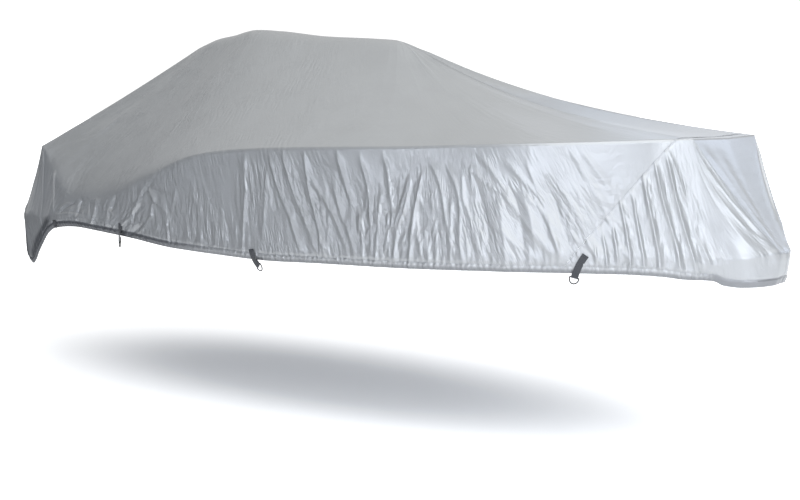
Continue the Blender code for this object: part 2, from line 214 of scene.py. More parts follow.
def ramp(x, start, end):
    """Smooth rise from 0 at start to 1 at end, in whichever order they come."""
    t = np.clip((x - start) / (end - start), 0.0, 1.0)
    return t * t * (3 - 2 * t)


def hang(share):
    """Depth of a hanging strip at this share of its length, 1 at its middle."""
    return 4 * share * (1 - share)


def unit(vectors):
    """Vectors of length 1 along the last axis."""
    return vectors / np.maximum(np.linalg.norm(vectors, axis=-1, keepdims=True), 1e-9)


print("stern corner at", side_points(RAIL_LINE, np.array([0.8]), -1)[0].round(3))

# %% [markdown]
# ## The plain cloth
# Before any fold, the cloth is a loft. The skirt rises from the hem over the gunwale to the
# rail and hangs in a little between the two, and the top runs from the rail to the ridge and
# sags under its own weight. Rows are given in metres up the cloth, not in shares, so that the
# hem keeps its height all the way round. A slightly blurred copy of the path rounds the cloth
# over the gunwale. At the stern quarter the cloth passes the rail loosely, so a table says how
# fully its fold is rounded off there.

# %% The loft
GUNWALE_ROUND = 0.030               # how far the skirt's bend over the gunwale spreads
BLUR = ((-GUNWALE_ROUND, 0.25), (0.0, 0.50), (GUNWALE_ROUND, 0.25))    # shift, and its share
SKIRT_HOLLOW, FRONT_HOLLOW = 0.010, 0.030   # how far the skirt hangs in, beside and in front
FRONT = (6.37, 6.46)                # s where the skirt turns into the front face
RAIL_EASE = (-0.45, -0.30, -0.15, 0.0, 0.15, 0.30, 0.45)    # s over which the top evens the rail
EASE_IN, EASE_OUT = (1.40, 1.60), (3.80, 4.40)              # s where it begins and ends to do so
SAG_LEAN = 0.4                      # how much nearer the ridge than the rail the top hangs lowest
HEM_WAY = 0.01                      # step along s that tells which way the hem runs


def side_lines(s, side):
    """Hem, gunwale and rail points, the level way out, and the skirt's two heights."""
    hem, knee, rail = (side_points(rows, s, side) for rows in (HEM_LINE, KNEE_LINE, RAIL_LINE))
    ahead, behind = (side_points(HEM_LINE, s + d, side) for d in (HEM_WAY, -HEM_WAY))
    along = ahead - behind
    out = unit(np.column_stack((-side * along[:, 1], side * along[:, 0], 0 * s)))
    low = np.linalg.norm(knee - hem, axis=1)
    high = np.linalg.norm(rail - knee, axis=1)
    return hem, knee, rail, out, low, high


def skirt_place(s, up, side):
    """The skirt's plain points at heights up (rows by columns), in metres up the cloth."""
    hem, knee, rail, out, low, high = side_lines(s, side)
    place = 0.0
    for shift, weight in BLUR:
        v = up + shift
        below = hem + (knee - hem) * (v / low)[..., None]
        above = knee + (rail - knee) * ((v - low) / high)[..., None]
        place = place + weight * np.where((v < low)[..., None], below, above)
    hollow = SKIRT_HOLLOW + (FRONT_HOLLOW - SKIRT_HOLLOW) * ramp(s, *FRONT)
    dip = hollow * hang(np.clip((up - low) / high, 0, 1)) + TUCK * (1 - ramp(up, 0.0, BAND))
    return place - out * dip[..., None]


def top_place(s, share, side):
    """The top's plain points at these shares (rows) of the way from the rail to the ridge."""
    rail = side_points(RAIL_LINE, s, side)
    eased = sum(side_points(RAIL_LINE, s + d, side) for d in RAIL_EASE) / len(RAIL_EASE)
    end = smooth_line(RIDGE_LINE, s)
    height = end[:, 1] - PEAK[2]
    climb = (height - rail[:, 2]) * RIDGE_ROUND
    aim = np.column_stack((end[:, 0] - PEAK[0], 0 * s, height + climb / 2))
    ease = ramp(s, *EASE_IN) * (1 - ramp(s, *EASE_OUT))
    rows = []
    for t in share:
        point = rail + (eased - rail) * hang(t) * ease[:, None]
        point = point + (aim - point) * t
        over = max(0.0, t - 1 + RIDGE_ROUND) / RIDGE_ROUND
        point[:, 2] -= hang(t) * (1 + SAG_LEAN * (t - 0.5)) * end[:, 2] + climb * over * over / 2
        rows.append(point)
    return np.array(rows)


SOFT_RAIL = (
    # s, and how fully the cloth rounds off the fold over the rail
    (0.0, 0.0), (1.38, 0.0), (1.52, 1.0), (2.25, 1.0), (2.80, 0.7), (3.20, 0.2), (3.6, 0.0),
    (6.5, 0.0),
)
RAIL_ROUND = 0.055                  # how far from the rail the rounding spreads
BESIDE_RAIL = 0.03                  # m below it, and share of the top above, where its bend is read


def rail_draw(s, total, side):
    """How far, and which way, the cloth on the rail is drawn in to round off its fold."""
    rail = side_points(RAIL_LINE, s, side)
    rise = unit(rail - skirt_place(s, (total - BESIDE_RAIL)[None], side)[0])
    over = unit(top_place(s, (BESIDE_RAIL,), side)[0] - rail)
    bend = np.linalg.norm(over - rise, axis=1) / np.linalg.norm(over + rise, axis=1)
    depth = bend * RAIL_ROUND * smooth_line(SOFT_RAIL, s)[:, 0]
    return unit(over - rise) * depth[:, None]


print("ridge at the peak:", top_place(np.array([2.81]), [1.0], -1)[0, 0].round(4))

# %% [markdown]
# ## Folds
# Pulled cloth doesn't wave like water. Each fold is a narrow crest with hollow sides that die
# away, one side often steeper than the other, and it runs along the line of the pull: nearly
# upright amidships, where the elastic gathers the hem, and slanting near the bow. So a fold
# here is a path up the skirt with a lift and a width for each side. The main ones are listed,
# as they hang on the real cover; a seeded generator strews the fine ones between them.

# %% The main folds of the skirt
FOLDS = (
    # lift, then reach towards the stern and the bow, in mm, then the path as (s, share up)
    (3.0, 30, 30, (2.83, 0.15), (2.80, 0.70)),
    (2.5, 22, 30, (3.06, 0.00), (3.06, 0.30), (3.05, 0.80)),
    (2.5, 10, 9, (3.18, 0.10), (3.165, 0.40), (3.14, 0.75)),
    (3.0, 12, 9, (3.245, 0.00), (3.23, 0.35)),
    (6.5, 24, 10, (3.39, 0.00), (3.41, 0.30), (3.432, 0.55), (3.455, 0.98)),
    (5.0, 20, 26, (3.545, 0.15), (3.56, 0.45), (3.585, 0.80)),
    (6.5, 7, 34, (3.84, 0.00), (3.75, 0.35), (3.67, 0.62), (3.60, 0.98)),
    (7.0, 7, 32, (3.94, 0.04), (3.85, 0.35), (3.77, 0.62), (3.69, 1.00)),
    (5.0, 10, 26, (3.99, 0.00), (3.93, 0.35), (3.88, 0.62), (3.85, 1.00)),
    (2.5, 12, 7, (3.84, 0.55), (3.82, 0.72), (3.76, 0.79), (3.70, 0.92)),
    (5.0, 7, 10, (3.945, 0.00), (3.95, 0.26)),
    (4.5, 7, 30, (4.12, 0.12), (4.02, 0.45), (3.91, 0.68), (3.86, 0.80)),
    (5.0, 9, 24, (4.19, 0.00), (4.13, 0.28), (4.07, 0.48), (4.03, 0.70)),
    (4.5, 7, 26, (4.15, 0.50), (4.10, 0.72), (4.06, 1.00)),
    (5.0, 8, 16, (4.285, 0.00), (4.262, 0.35), (4.245, 0.65), (4.20, 0.90)),
    (4.5, 8, 9, (4.22, 0.00), (4.215, 0.26), (4.19, 0.33), (4.215, 0.46)),
    (7.0, 22, 16, (4.305, 0.00), (4.31, 0.30), (4.32, 0.62)),
    (4.5, 9, 7, (4.345, 0.10), (4.375, 0.30), (4.392, 0.45), (4.37, 0.65), (4.355, 0.82), (4.33, 0.94)),
    (6.0, 14, 9, (4.41, 0.00), (4.42, 0.28), (4.465, 0.50), (4.50, 0.75)),
    (4.5, 12, 8, (4.395, 0.30), (4.44, 0.50), (4.49, 0.78)),
    (7.5, 16, 14, (4.505, 0.00), (4.51, 0.30), (4.53, 0.52), (4.57, 0.80)),
    (4.0, 9, 9, (4.585, 0.04), (4.545, 0.28), (4.535, 0.42)),
    (3.0, 10, 10, (4.625, 0.40), (4.625, 0.75)),
    (7.0, 9, 18, (4.75, 0.12), (4.705, 0.42), (4.68, 0.66), (4.61, 0.90)),
    (4.5, 8, 10, (4.66, 0.00), (4.65, 0.16)),
    (6.0, 12, 14, (4.735, 0.25), (4.74, 0.60)),
    (7.5, 12, 22, (4.80, 0.00), (4.785, 0.25), (4.79, 0.50), (4.77, 0.68), (4.72, 0.85)),
    (5.5, 10, 16, (4.815, 0.50), (4.805, 0.80)),
    (5.0, 8, 9, (4.835, 0.00), (4.82, 0.28)),
    (4.0, 7, 7, (4.86, 0.62), (4.862, 0.82)),
    (4.0, 7, 9, (4.97, 0.08), (4.90, 0.26), (4.85, 0.42), (4.80, 0.62)),
    (3.0, 6, 9, (4.93, 0.06), (4.86, 0.30), (4.83, 0.50)),
    (-4.5, 26, 16, (4.955, 0.00), (4.94, 0.30), (4.915, 0.55), (4.90, 0.68)),
    (6.0, 40, 30, (5.03, 0.00), (5.02, 0.30), (5.00, 0.58)),
    (-4.5, 26, 20, (5.12, 0.10), (5.11, 0.40), (5.06, 0.70)),
    (6.0, 26, 26, (5.175, 0.20), (5.16, 0.42), (5.13, 0.60)),
    (-6.0, 22, 22, (5.35, 0.18), (5.30, 0.42), (5.25, 0.72)),
    (6.0, 26, 26, (5.30, 0.08), (5.27, 0.28), (5.24, 0.40)),
    (4.5, 6, 16, (5.05, 0.60), (4.96, 0.83), (4.88, 0.99)),
    (5.0, 6, 18, (5.25, 0.13), (5.12, 0.40), (5.03, 0.60), (4.92, 0.72), (4.83, 0.85)),
    (4.0, 6, 14, (5.22, 0.54), (5.13, 0.71), (5.05, 0.86)),
    (4.5, 6, 16, (5.30, 0.31), (5.24, 0.40), (5.20, 0.50), (5.11, 0.62)),
    (3.0, 6, 10, (5.21, 0.58), (5.15, 0.84)),
    (5.0, 6, 22, (5.50, 0.06), (5.44, 0.20), (5.40, 0.37), (5.35, 0.54), (5.30, 0.68)),
    (4.0, 6, 18, (5.54, 0.36), (5.48, 0.60), (5.42, 0.78), (5.355, 0.97)),
    (3.5, 6, 16, (5.56, 0.60), (5.50, 0.74), (5.40, 0.97)),
    (4.0, 6, 14, (5.18, 0.10), (5.09, 0.20), (5.03, 0.28), (4.95, 0.39)),
    (4.0, 7, 14, (5.315, 0.06), (5.25, 0.33)),
    (4.0, 7, 9, (5.42, 0.20), (5.36, 0.30)),
    (-2.5, 30, 30, (5.50, 0.44), (5.40, 0.58)),
)

# the crumpled quarter between the stern pocket and the rail
QUARTER_FOLDS = (
    (7.0, 14, 9, (1.06, 0.08), (1.10, 0.34)),
    (-7.0, 14, 14, (1.13, 0.07), (1.14, 0.30)),
    (6.0, 8, 12, (1.21, 0.10), (1.17, 0.38)),
    (6.0, 14, 12, (1.435, 0.04), (1.425, 0.50), (1.415, 0.97)),
    (6.0, 14, 14, (1.665, 0.04), (1.640, 0.50), (1.600, 1.00)),
    (5.0, 8, 9, (1.70, 0.28), (1.86, 0.74)),
    (-6.0, 9, 9, (1.73, 0.26), (1.92, 0.85)),
    (-9.0, 22, 22, (1.92, 0.30), (1.96, 0.65), (2.00, 1.00)),
    (6.0, 9, 10, (2.05, 0.08), (2.13, 0.50), (2.22, 0.97)),
    (7.0, 10, 13, (2.20, 0.12), (2.25, 0.40), (2.31, 0.68)),
    (-9.0, 20, 24, (2.32, 0.58), (2.43, 0.97)),
    (8.0, 8, 14, (2.35, 0.20), (2.52, 0.50), (2.69, 0.86)),
    (6.0, 8, 12, (2.37, 0.28), (2.54, 0.58)),
    (-10.0, 24, 22, (2.44, 0.05), (2.57, 0.30)),
    (6.0, 9, 9, (2.43, 0.02), (2.57, 0.22), (2.69, 0.46)),
    (-7.0, 14, 16, (2.52, 0.46), (2.63, 0.62)),
    (6.0, 8, 12, (2.655, 0.34), (2.73, 0.64)),
    (6.0, 9, 12, (2.80, 0.48), (2.74, 0.66), (2.72, 0.90)),
    (-7.0, 16, 14, (2.62, 0.70), (2.78, 0.92)),
    (5.5, 8, 10, (2.86, 0.46), (2.925, 0.70)),
    (6.5, 8, 9, (2.785, 0.00), (2.80, 0.40)),
)

LEVEL_CREASES = (
    # lift, then reach down and up the cloth, in mm, then the path as (s, height up in m):
    # creases that run along the stern quarter, above the pocket and under the sheltered side
    (4.0, 7, 12, (0.86, 0.150), (1.00, 0.330), (1.20, 0.300), (1.45, 0.125), (1.62, 0.075)),
    (-5.0, 12, 8, (0.90, 0.120), (1.04, 0.295), (1.18, 0.270), (1.40, 0.105)),
    (4.0, 8, 14, (1.66, 0.080), (1.90, 0.070), (2.15, 0.062), (2.40, 0.050)),
    (4.0, 40, 14, (6.02, 0.120), (6.15, 0.140), (6.30, 0.155), (6.42, 0.170), (6.52, 0.172)),
    (-4.0, 10, 8, (1.70, 0.098), (1.95, 0.092), (2.20, 0.080)),
    (-6.0, 14, 10, (2.70, 0.385), (2.78, 0.345), (2.88, 0.320)),
)

NOSE_FOLDS = (
    # the pleats that the seam gathers, and the facet beside the platform
    (6.0, 7, 12, (5.475, 0.00), (5.46, 0.25)),
    (7.0, 7, 14, (5.525, 0.00), (5.50, 0.35)),
    (7.0, 7, 14, (5.58, 0.00), (5.55, 0.40)),
    (8.0, 7, 16, (5.64, 0.00), (5.61, 0.40), (5.59, 0.56)),
    (8.5, 7, 16, (5.71, 0.00), (5.675, 0.38), (5.655, 0.62)),
    (10.0, 8, 20, (5.785, 0.00), (5.765, 0.25), (5.735, 0.50), (5.71, 0.75)),
    (10.0, 8, 22, (5.885, 0.00), (5.86, 0.28), (5.81, 0.58), (5.775, 0.86)),
    (11.0, 9, 24, (5.965, 0.00), (5.93, 0.30), (5.89, 0.60), (5.85, 0.92)),
    (4.0, 6, 16, (5.97, 0.50), (5.93, 0.70), (5.87, 0.93)),
    (6.0, 8, 16, (6.05, 0.00), (6.02, 0.18), (5.98, 0.36)),
    (2.5, 8, 16, (6.30, 0.22), (6.18, 0.55), (6.06, 0.86)),
    (2.5, 8, 14, (6.36, 0.28), (6.24, 0.60), (6.12, 0.90)),
    (3.0, 8, 20, (6.41, 0.26), (6.33, 0.62), (6.22, 0.94)),
    (4.0, 30, 26, (6.415, 0.00), (6.405, 0.10), (6.40, 0.19)),
    (8.0, 9, 14, (6.448, 0.26), (6.452, 0.60), (6.440, 0.96)),
    (6.0, 12, 6, (6.476, 0.42), (6.470, 0.92)),
)
print(len(FOLDS) + len(QUARTER_FOLDS) + len(NOSE_FOLDS), "main folds")

# %% [markdown]
# A fold's height over the cloth is worked out for the whole sheet at once. The crest's place
# is a smooth curve through the path, the distance to it is measured across the fold in
# metres, and an exponential with a slightly blunted tip gives the pinched crest with hollow
# sides. Both ends fade away.

# %% Height of one fold
BLUNT = 0.20            # how much of its reach a crest is blunted
FORCE = (
    # s, and the scales of the lift and of the reach of the folds there
    (0.0, 1.2, 0.80), (1.6, 1.6, 0.75), (2.6, 1.6, 0.75), (3.0, 1.3, 0.65), (3.9, 1.5, 0.65),
    (4.3, 1.9, 0.70), (4.7, 1.4, 0.75), (5.1, 1.8, 0.85),
    (5.45, 2.0, 0.90), (5.8, 1.6, 0.90), (6.0, 1.3, 0.90), (6.5, 1.0, 1.00),
)
NARROWEST = 0.0055      # least reach of a fold, in metres
AT_HEM = 0.02           # a fold that starts below this share of the skirt starts at the hem
FADE = 0.12             # share of the skirt over which the ends of a fold fade away
SHORT_FADE = 0.35       # or this share of the fold, if that is less
FLATTEST = 0.01         # least height in metres that a fold's slant is worked out from
LEVEL_FADE = (0.04, 0.08)   # how far beyond the ends of a level crease, and within, it fades
MM = 0.001              # the tables give lifts and reaches in millimetres


def crest_shape(across):
    """Height of a crest, 1 at its top, so many reaches away from it."""
    return np.exp(BLUNT - np.sqrt(across ** 2 + BLUNT ** 2))


def fold_height(s, up, total, fold):
    """Lift of one fold over the skirt. s and up are grids in metres, total the skirt's height."""
    lift, aft, fore, *path = fold
    path = np.array(sorted(path, key=lambda p: p[1]))
    share = up / total
    low, high = path[0, 1], path[-1, 1]
    height = (high - low) * float(np.mean(total))
    rows = np.column_stack((path[:, 1], path[:, 0]))
    flat = share.ravel()
    middle = smooth_line(rows, flat)[:, 0].reshape(share.shape)
    slant = (path[-1, 0] - path[0, 0]) / max(height, FLATTEST)
    across = (s - middle) / math.hypot(1.0, slant)
    strength, spread = smooth_line(FORCE, path[:1, 0])[0]
    reach = np.maximum(np.where(across < 0, aft, fore) * spread * MM, NARROWEST)
    end = min(FADE, SHORT_FADE * (high - low))
    foot = 1.0 if low <= AT_HEM else ramp(share, low - end / 2, low + end)
    head = 1 - ramp(share, high - end, min(high + end / 2, 1.0))
    return strength * lift * MM * crest_shape(across / reach) * foot * head


def level_height(s, up, fold):
    """Lift of one level crease, whose height up the cloth follows s."""
    lift, below, above, *path = fold
    middle = smooth_line(path, s.ravel())[:, 0].reshape(s.shape)
    across = up - middle
    reach = np.where(across < 0, below, above) * MM
    (first, *_), (last, *_) = path[0], path[-1]
    beyond, within = LEVEL_FADE
    start = ramp(s, first - beyond, first + within)
    stop = ramp(s, last - within, last + beyond)
    return lift * MM * crest_shape(across / reach) * (start * (1 - stop))


print("a crest is half as high", round(math.sqrt((BLUNT + math.log(2)) ** 2 - BLUNT ** 2), 2),
      "reaches away")

# %% [markdown]
# ## Fine folds
# Between the main folds the cloth is full of small ones that nobody would list. A seeded
# generator strews them, so they come out the same each time, in stretches along the hem that
# each have their own slant, length and height.

# %% Strew the fine folds
FINE_GAIN = 0.65        # how high the strewn folds are, against the table below
LOWEST_FOOT = -0.1      # lowest foot of a strewn fold, as a share of the skirt
FINE_BEND = 0.012       # how far its middle strays along s
FINE_REACH = (5.0, 12.0)    # its reach to each side, in mm
UP_OR_DOWN = (1.0, 1.0, -1.0)   # two crests for each hollow


def strewn_folds(random, count, start, stop, highest, lean, length, lift):
    """Fine folds at random places, each a short, slightly bent path that leans about as told."""
    found = []
    for _ in range(count):
        s0, low = random.uniform(start, stop), random.uniform(LOWEST_FOOT, highest)
        tall = random.uniform(*length)
        high = low + tall
        slope = random.normal(*lean)
        bend = random.normal(0.0, FINE_BEND)
        middle = (s0 + slope * tall / 2 + bend, (low + high) / 2)
        ends = (s0, low), (s0 + slope * tall, high)
        reach = random.uniform(*FINE_REACH, 2)
        height = FINE_GAIN * random.uniform(*lift) * random.choice(UP_OR_DOWN)
        found.append((height, *reach, ends[0], middle, ends[1]))
    return found


FINE_FOLDS = (
    # how many, from s, to s, highest foot, mean slant and its spread (s per share), length in
    # shares, lift in mm
    (30, 0.05, 0.80, 0.9, (0.0, 0.10), (0.15, 0.50), (1.0, 2.5)),
    (10, 0.85, 1.50, 0.9, (0.0, 0.10), (0.15, 0.60), (1.0, 2.0)),
    (120, 1.50, 2.80, 0.9, (0.20, 0.14), (0.15, 0.60), (1.0, 3.2)),
    (80, 2.80, 3.60, 0.8, (-0.02, 0.07), (0.12, 0.55), (0.8, 2.2)),
    (80, 3.50, 4.30, 0.6, (-0.20, 0.12), (0.10, 0.40), (0.8, 2.4)),
    (75, 4.20, 4.75, 0.5, (0.02, 0.16), (0.08, 0.35), (1.0, 2.8)),
    (120, 4.60, 5.70, 0.5, (-0.28, 0.16), (0.08, 0.35), (1.0, 2.8)),
    (50, 5.45, 6.05, 0.6, (-0.08, 0.10), (0.08, 0.35), (1.0, 2.8)),
    (14, 6.05, 6.45, 0.6, (-0.15, 0.15), (0.10, 0.40), (0.6, 1.4)),
)
print(sum(row[0] for row in FINE_FOLDS), "fine folds on each side")

# %% [markdown]
# ## Crumpled facets
# Between its folds the loose skirt is crumpled: small flat facets that meet in crisp creases,
# drawn out along the pull. A random height at each corner of a grid of triangles, joined by
# flat facets, gives just that, once the grid is stretched along the pull and bent a little.

# %% Facets between the folds
PULL_LEAN = (
    # s, and how far the pull moves along s for each metre up the cloth
    (0.0, 0.0), (1.5, 0.0), (1.8, 0.5), (2.3, 1.0), (2.6, 0.8), (2.9, 0.3), (3.4, 0.0),
    (3.75, -0.35), (4.15, -0.15), (4.5, 0.05), (4.8, -0.20), (5.05, -0.45), (5.45, -0.45),
    (5.65, -0.10), (6.0, -0.15), (6.2, -0.40), (6.5, -0.40),
)
SLACK = (
    # s, and how crumpled the skirt and the top are there
    (0.0, 0.3, 0.40), (1.40, 0.3, 0.40), (1.55, 0.9, 0.50), (2.4, 0.9, 0.50), (3.0, 0.8, 0.45),
    (3.5, 1.1, 0.38), (4.2, 1.2, 0.15), (4.7, 1.1, 0.08), (5.3, 1.0, 0.14), (5.7, 0.8, 0.15),
    (6.0, 0.6, 0.12), (6.1, 0.2, 0.12), (6.5, 0.25, 0.12),
)
CRUMPLES = (
    # width and length of a facet, lift, and the size of a patch, all in metres
    (0.055, 0.240, 0.0045, 0.40),
    (0.026, 0.080, 0.0024, 0.18),
)
TABLE = (61, 67)            # random heights in a grid, which repeats beyond that many squares
STRAY = 0.9                 # how far facets are pushed aside, in their own widths,
STRAY_OVER = (3.0, 1.5)     # and over how many widths and lengths that changes
PATCH = (-0.6, 0.7)         # hills of noise between which a patch gets fully crumpled
CALM_PATCH = 0.25           # share of the lift that is left between the patches
CALM_TOP = 0.12             # share that is left near the rail
CALM_FROM = (0.75, 0.30)    # shares of the skirt between which that changes
ABOVE_CASING = 0.03         # height over which facets begin above the casing


def random_squares(random, x, y):
    """Places within a grid's squares, and a function for the random heights at their corners."""
    table = random.uniform(-1.0, 1.0, TABLE)
    i, j = np.floor(x).astype(int), np.floor(y).astype(int)

    def corner(di, dj):
        return table[(i + di) % TABLE[0], (j + dj) % TABLE[1]]

    return x - i, y - j, corner


def facets(random, x, y):
    """Flat facets between random heights, about -1 to 1, on a grid of triangles."""
    a, b, corner = random_squares(random, x, y)
    below = a * (corner(1, 0) - corner(0, 0)) + b * (corner(1, 1) - corner(1, 0))
    above = b * (corner(0, 1) - corner(0, 0)) + a * (corner(1, 1) - corner(0, 1))
    return corner(0, 0) + np.where(a > b, below, above)


def soft_noise(random, x, y):
    """Smooth random hills, about -1 to 1, one to a unit."""
    a, b, corner = random_squares(random, x, y)
    a, b = ramp(a, 0.0, 1.0), ramp(b, 0.0, 1.0)
    low = corner(0, 0) * (1 - a) + corner(1, 0) * a
    high = corner(0, 1) * (1 - a) + corner(1, 1) * a
    return low * (1 - b) + high * b


def crumple_height(seed, s, up, total):
    """Lift of the facets over the skirt, in metres."""
    random = np.random.default_rng(seed)
    lean, loose = smooth_line(PULL_LEAN, s[0])[:, 0], smooth_line(SLACK, s[0])[:, 0]
    along = s - lean * up
    found = 0.0
    wide, tall = STRAY_OVER
    for width, length, height, cloud in CRUMPLES:
        bend = STRAY * soft_noise(random, along / width / wide, up / length / tall)
        across = along / width + bend
        patch = ramp(soft_noise(random, s / cloud, up / cloud), *PATCH)
        height = height * (CALM_PATCH + (1 - CALM_PATCH) * patch)
        found = found + height * facets(random, across, up / length + across / 2)
    calm = CALM_TOP + (1 - CALM_TOP) * ramp(up / total, *CALM_FROM)
    return found * loose * (calm * ramp(up, BAND, BAND + ABOVE_CASING))


print("facets are drawn out", round(CRUMPLES[0][1] / CRUMPLES[0][0], 1), "times")

# %% [markdown]
# ## The gathered hem
# The hem is a casing with an elastic band in it. The elastic is shorter than the cloth, so
# the casing puckers about every 30 mm, and the row of stitches at its top pinches it. The
# casing bulges between its lower edge and the stitches, and the big folds nearly end there.
# Small pleats run a little way up the skirt. Only the anchor platform, which stretches the
# hem, keeps it smooth.

# %% Puckers of the hem
PUCKER, PUFF = 0.030, 0.011 # spacing of the casing's puckers, and how far they rise
PLEAT, PLEAT_LIFT = 0.038, 0.012    # the same for the small pleats above it,
PLEAT_FADE = 0.035          # and the height over which they die away
LEANS = (0.05, 0.10)        # how far puckers and pleats lean along s for each metre up
BELLY = 0.007               # how far the casing bulges over its elastic,
PLAIN_BELLY = 0.4           # and the share of it that is left where nothing is gathered
PINCH, PINCH_HALF = 0.0025, 0.004   # depth and half height of the groove that the stitches draw
THROUGH_CASING = 0.35       # how much of a fold is left where the casing holds it
GATHER_FROM, GATHER_LEAST = (3.3, 4.2), 0.55    # s where the gathers get full, and their share aft
PLATFORM = (6.02, 6.12)     # s where the hem gets smooth, on the anchor platform
TAUT = (2.84, 2.90), (2.97, 3.04), 0.75     # s where a taut stretch begins and ends, and its loss
UNEVEN, WAVES = 0.3, (0.45, 1.0)    # how far crests stray, in spacings, and their heights
SPARE = 4                   # crests beyond the end of the hem
SWELL, STOP = 3, 8          # powers: how fast the casing swells, and how sharply it ends
PLEAT_EDGES = (0.8, 1.2)    # heights, in bands, between which the pleats begin
CASING_EDGES = (0.5, 1.5)   # heights, in bands, between which the folds get free of the casing


def knotted(random, spacing, s):
    """Uneven ripple along s, from 0 to 1, with sharp crests about this far apart."""
    count = int(S_END / spacing) + SPARE
    places = (np.arange(count) + random.uniform(-UNEVEN, UNEVEN, count)) * spacing
    sign = np.where(np.arange(count) % 2 == 0, 1.0, -1.0) * random.uniform(*WAVES, count)
    wave = smooth_line(np.column_stack((places, sign)), s.ravel()).reshape(s.shape)
    return 1 - np.abs(wave)


def pucker_height(random, s, up):
    """Lift of the casing's puckers and of the small pleats above it."""
    begins, ends, loss = TAUT
    gathered = (1 - ramp(s, *PLATFORM)) * (1 - loss * ramp(s, *begins) * (1 - ramp(s, *ends)))
    strength = GATHER_LEAST + (1 - GATHER_LEAST) * ramp(s, *GATHER_FROM)
    casing = knotted(random, PUCKER, s + LEANS[0] * up)
    band = np.clip(up / BAND, 0.0, 1.0)
    round_side = (1 - (1 - band) ** SWELL) * (1 - band ** STOP)
    belly = round_side * (PLAIN_BELLY + (1 - PLAIN_BELLY) * gathered)
    pleats = knotted(random, PLEAT, s + LEANS[1] * up)
    above = ramp(up, *(BAND * edge for edge in PLEAT_EDGES))
    above = above * np.exp(-np.maximum(up - BAND, 0) / PLEAT_FADE)
    pinch = np.exp(-((up - BAND) / PINCH_HALF) ** 2)
    puffed = BELLY * belly + PUFF * gathered * strength * (0.5 - casing) * round_side
    return puffed + PLEAT_LIFT * gathered * strength * pleats * above - PINCH * pinch


print("puckers in the hem:", int(2 * S_END / PUCKER))

# %% [markdown]
# ## The whole height field
# Skirt and top each get one field of lifts. Where the two meet on the rail, on the centreline
# and on the ridge, every lift fades to nothing, so that the halves join without a step.
# The top is nearly smooth: faint pulls run from the ridge down to the rail, closer together
# towards the ridge because the strips of the loft converge there.

# %% Lifts over the skirt and over the top
SEAM_DIP, SEAM_HALF = 0.0025, 0.006     # how deep the sewn seam lies, and half its width
CRUMPLE_SEED, TOP_SEED, PORT_SEED = 3, 1, 10    # added to a sheet's seed for these parts of it
TAB_PLACES = tuple(row[1] for row in TABS)
FLAT_HALF, FLAT_LOSS = 0.03, 0.8    # half width of the calm cloth under a tab, and what it loses
FLAT_TOP = (0.08, 0.14)     # heights between which its folds come back
PORT_SHIFT = 0.06           # how far the folds on the port side are moved to and fro
FINE_WINDOW = 0.35          # how far along s a fine fold can show
RAIL_FADE = 0.97            # share of the skirt where its folds begin to fade out to the rail
SKIRT_MIDDLE, TOP_MIDDLE = 0.03, 0.10   # stretch of s beside the centreline that stays plain
PULL_SPREAD = 0.06          # spread of the pulls' lean, in s for each share up
PULL_FADE = 0.1             # share of the top over which the ends of a pull fade
TOP_FADE = (0.06, 0.9)      # shares of the top below and above which its pulls fade
TOP_PULLS = (
    # how many, between which s, from which share up, length in shares, reach in m, lift in mm
    (150, (0.0, 6.5), (-0.1, 0.8), (0.15, 0.6), (0.02, 0.07), (0.5, 2.0)),
    (36, (1.5, 2.7), (0.02, 0.20), (0.12, 0.4), (0.018, 0.035), (1.5, 4.0)),
    (30, (2.3, 3.4), (0.35, 0.75), (0.15, 0.4), (0.02, 0.05), (1.0, 3.0)),
)


def seam_distance(points):
    """Signed distance from the plane of the nose seam, positive towards the bow."""
    (x1, z1), (x0, z0) = SEAM_TOP, SEAM_FOOT
    ahead = unit(np.array((z1 - z0, x0 - x1)))
    return (points[..., 0] + PEAK[0] - x0) * ahead[0] + (points[..., 2] + PEAK[2] - z0) * ahead[1]


def seam_dip(points):
    """How deep the stitches of the nose seam draw the cloth in."""
    return SEAM_DIP * np.exp(-(seam_distance(points) / SEAM_HALF) ** 2)


def skirt_lift(s, up, total, side, folds, seed):
    """Lift of every fold of the skirt, in metres."""
    random = np.random.default_rng(seed)
    shift = 0.0 if side < 0 else PORT_SHIFT
    lift = np.zeros_like(s)
    for number, fold in enumerate(folds):
        moved = tuple((p[0] + shift * (1 if number % 2 else -1), p[1]) for p in fold[3:])
        lift += fold_height(s, up, total, fold[:3] + moved)
    for row in FINE_FOLDS:
        for fold in strewn_folds(random, *row):
            near = (s[0] > fold[3][0] - FINE_WINDOW) & (s[0] < fold[3][0] + FINE_WINDOW)
            if near.any():
                lift[:, near] += fold_height(s[:, near], up[:, near], total[near], fold)
    for fold in LEVEL_CREASES:
        lift += level_height(s, up, fold)
    lift += crumple_height(seed + CRUMPLE_SEED, s, up, total)
    free = ramp(up, *(BAND * edge for edge in CASING_EDGES))
    lift *= THROUGH_CASING + (1 - THROUGH_CASING) * free
    lift += pucker_height(random, s, up)
    for place in TAB_PLACES:
        beside = np.exp(-((s - place) / FLAT_HALF) ** 2)
        lift *= 1 - FLAT_LOSS * beside * (1 - ramp(up, *FLAT_TOP))
    lift *= 1 - ramp(up, total * RAIL_FADE, total)
    return lift * ramp(s, 0.0, SKIRT_MIDDLE) * (1 - ramp(s, S_END - SKIRT_MIDDLE, S_END))


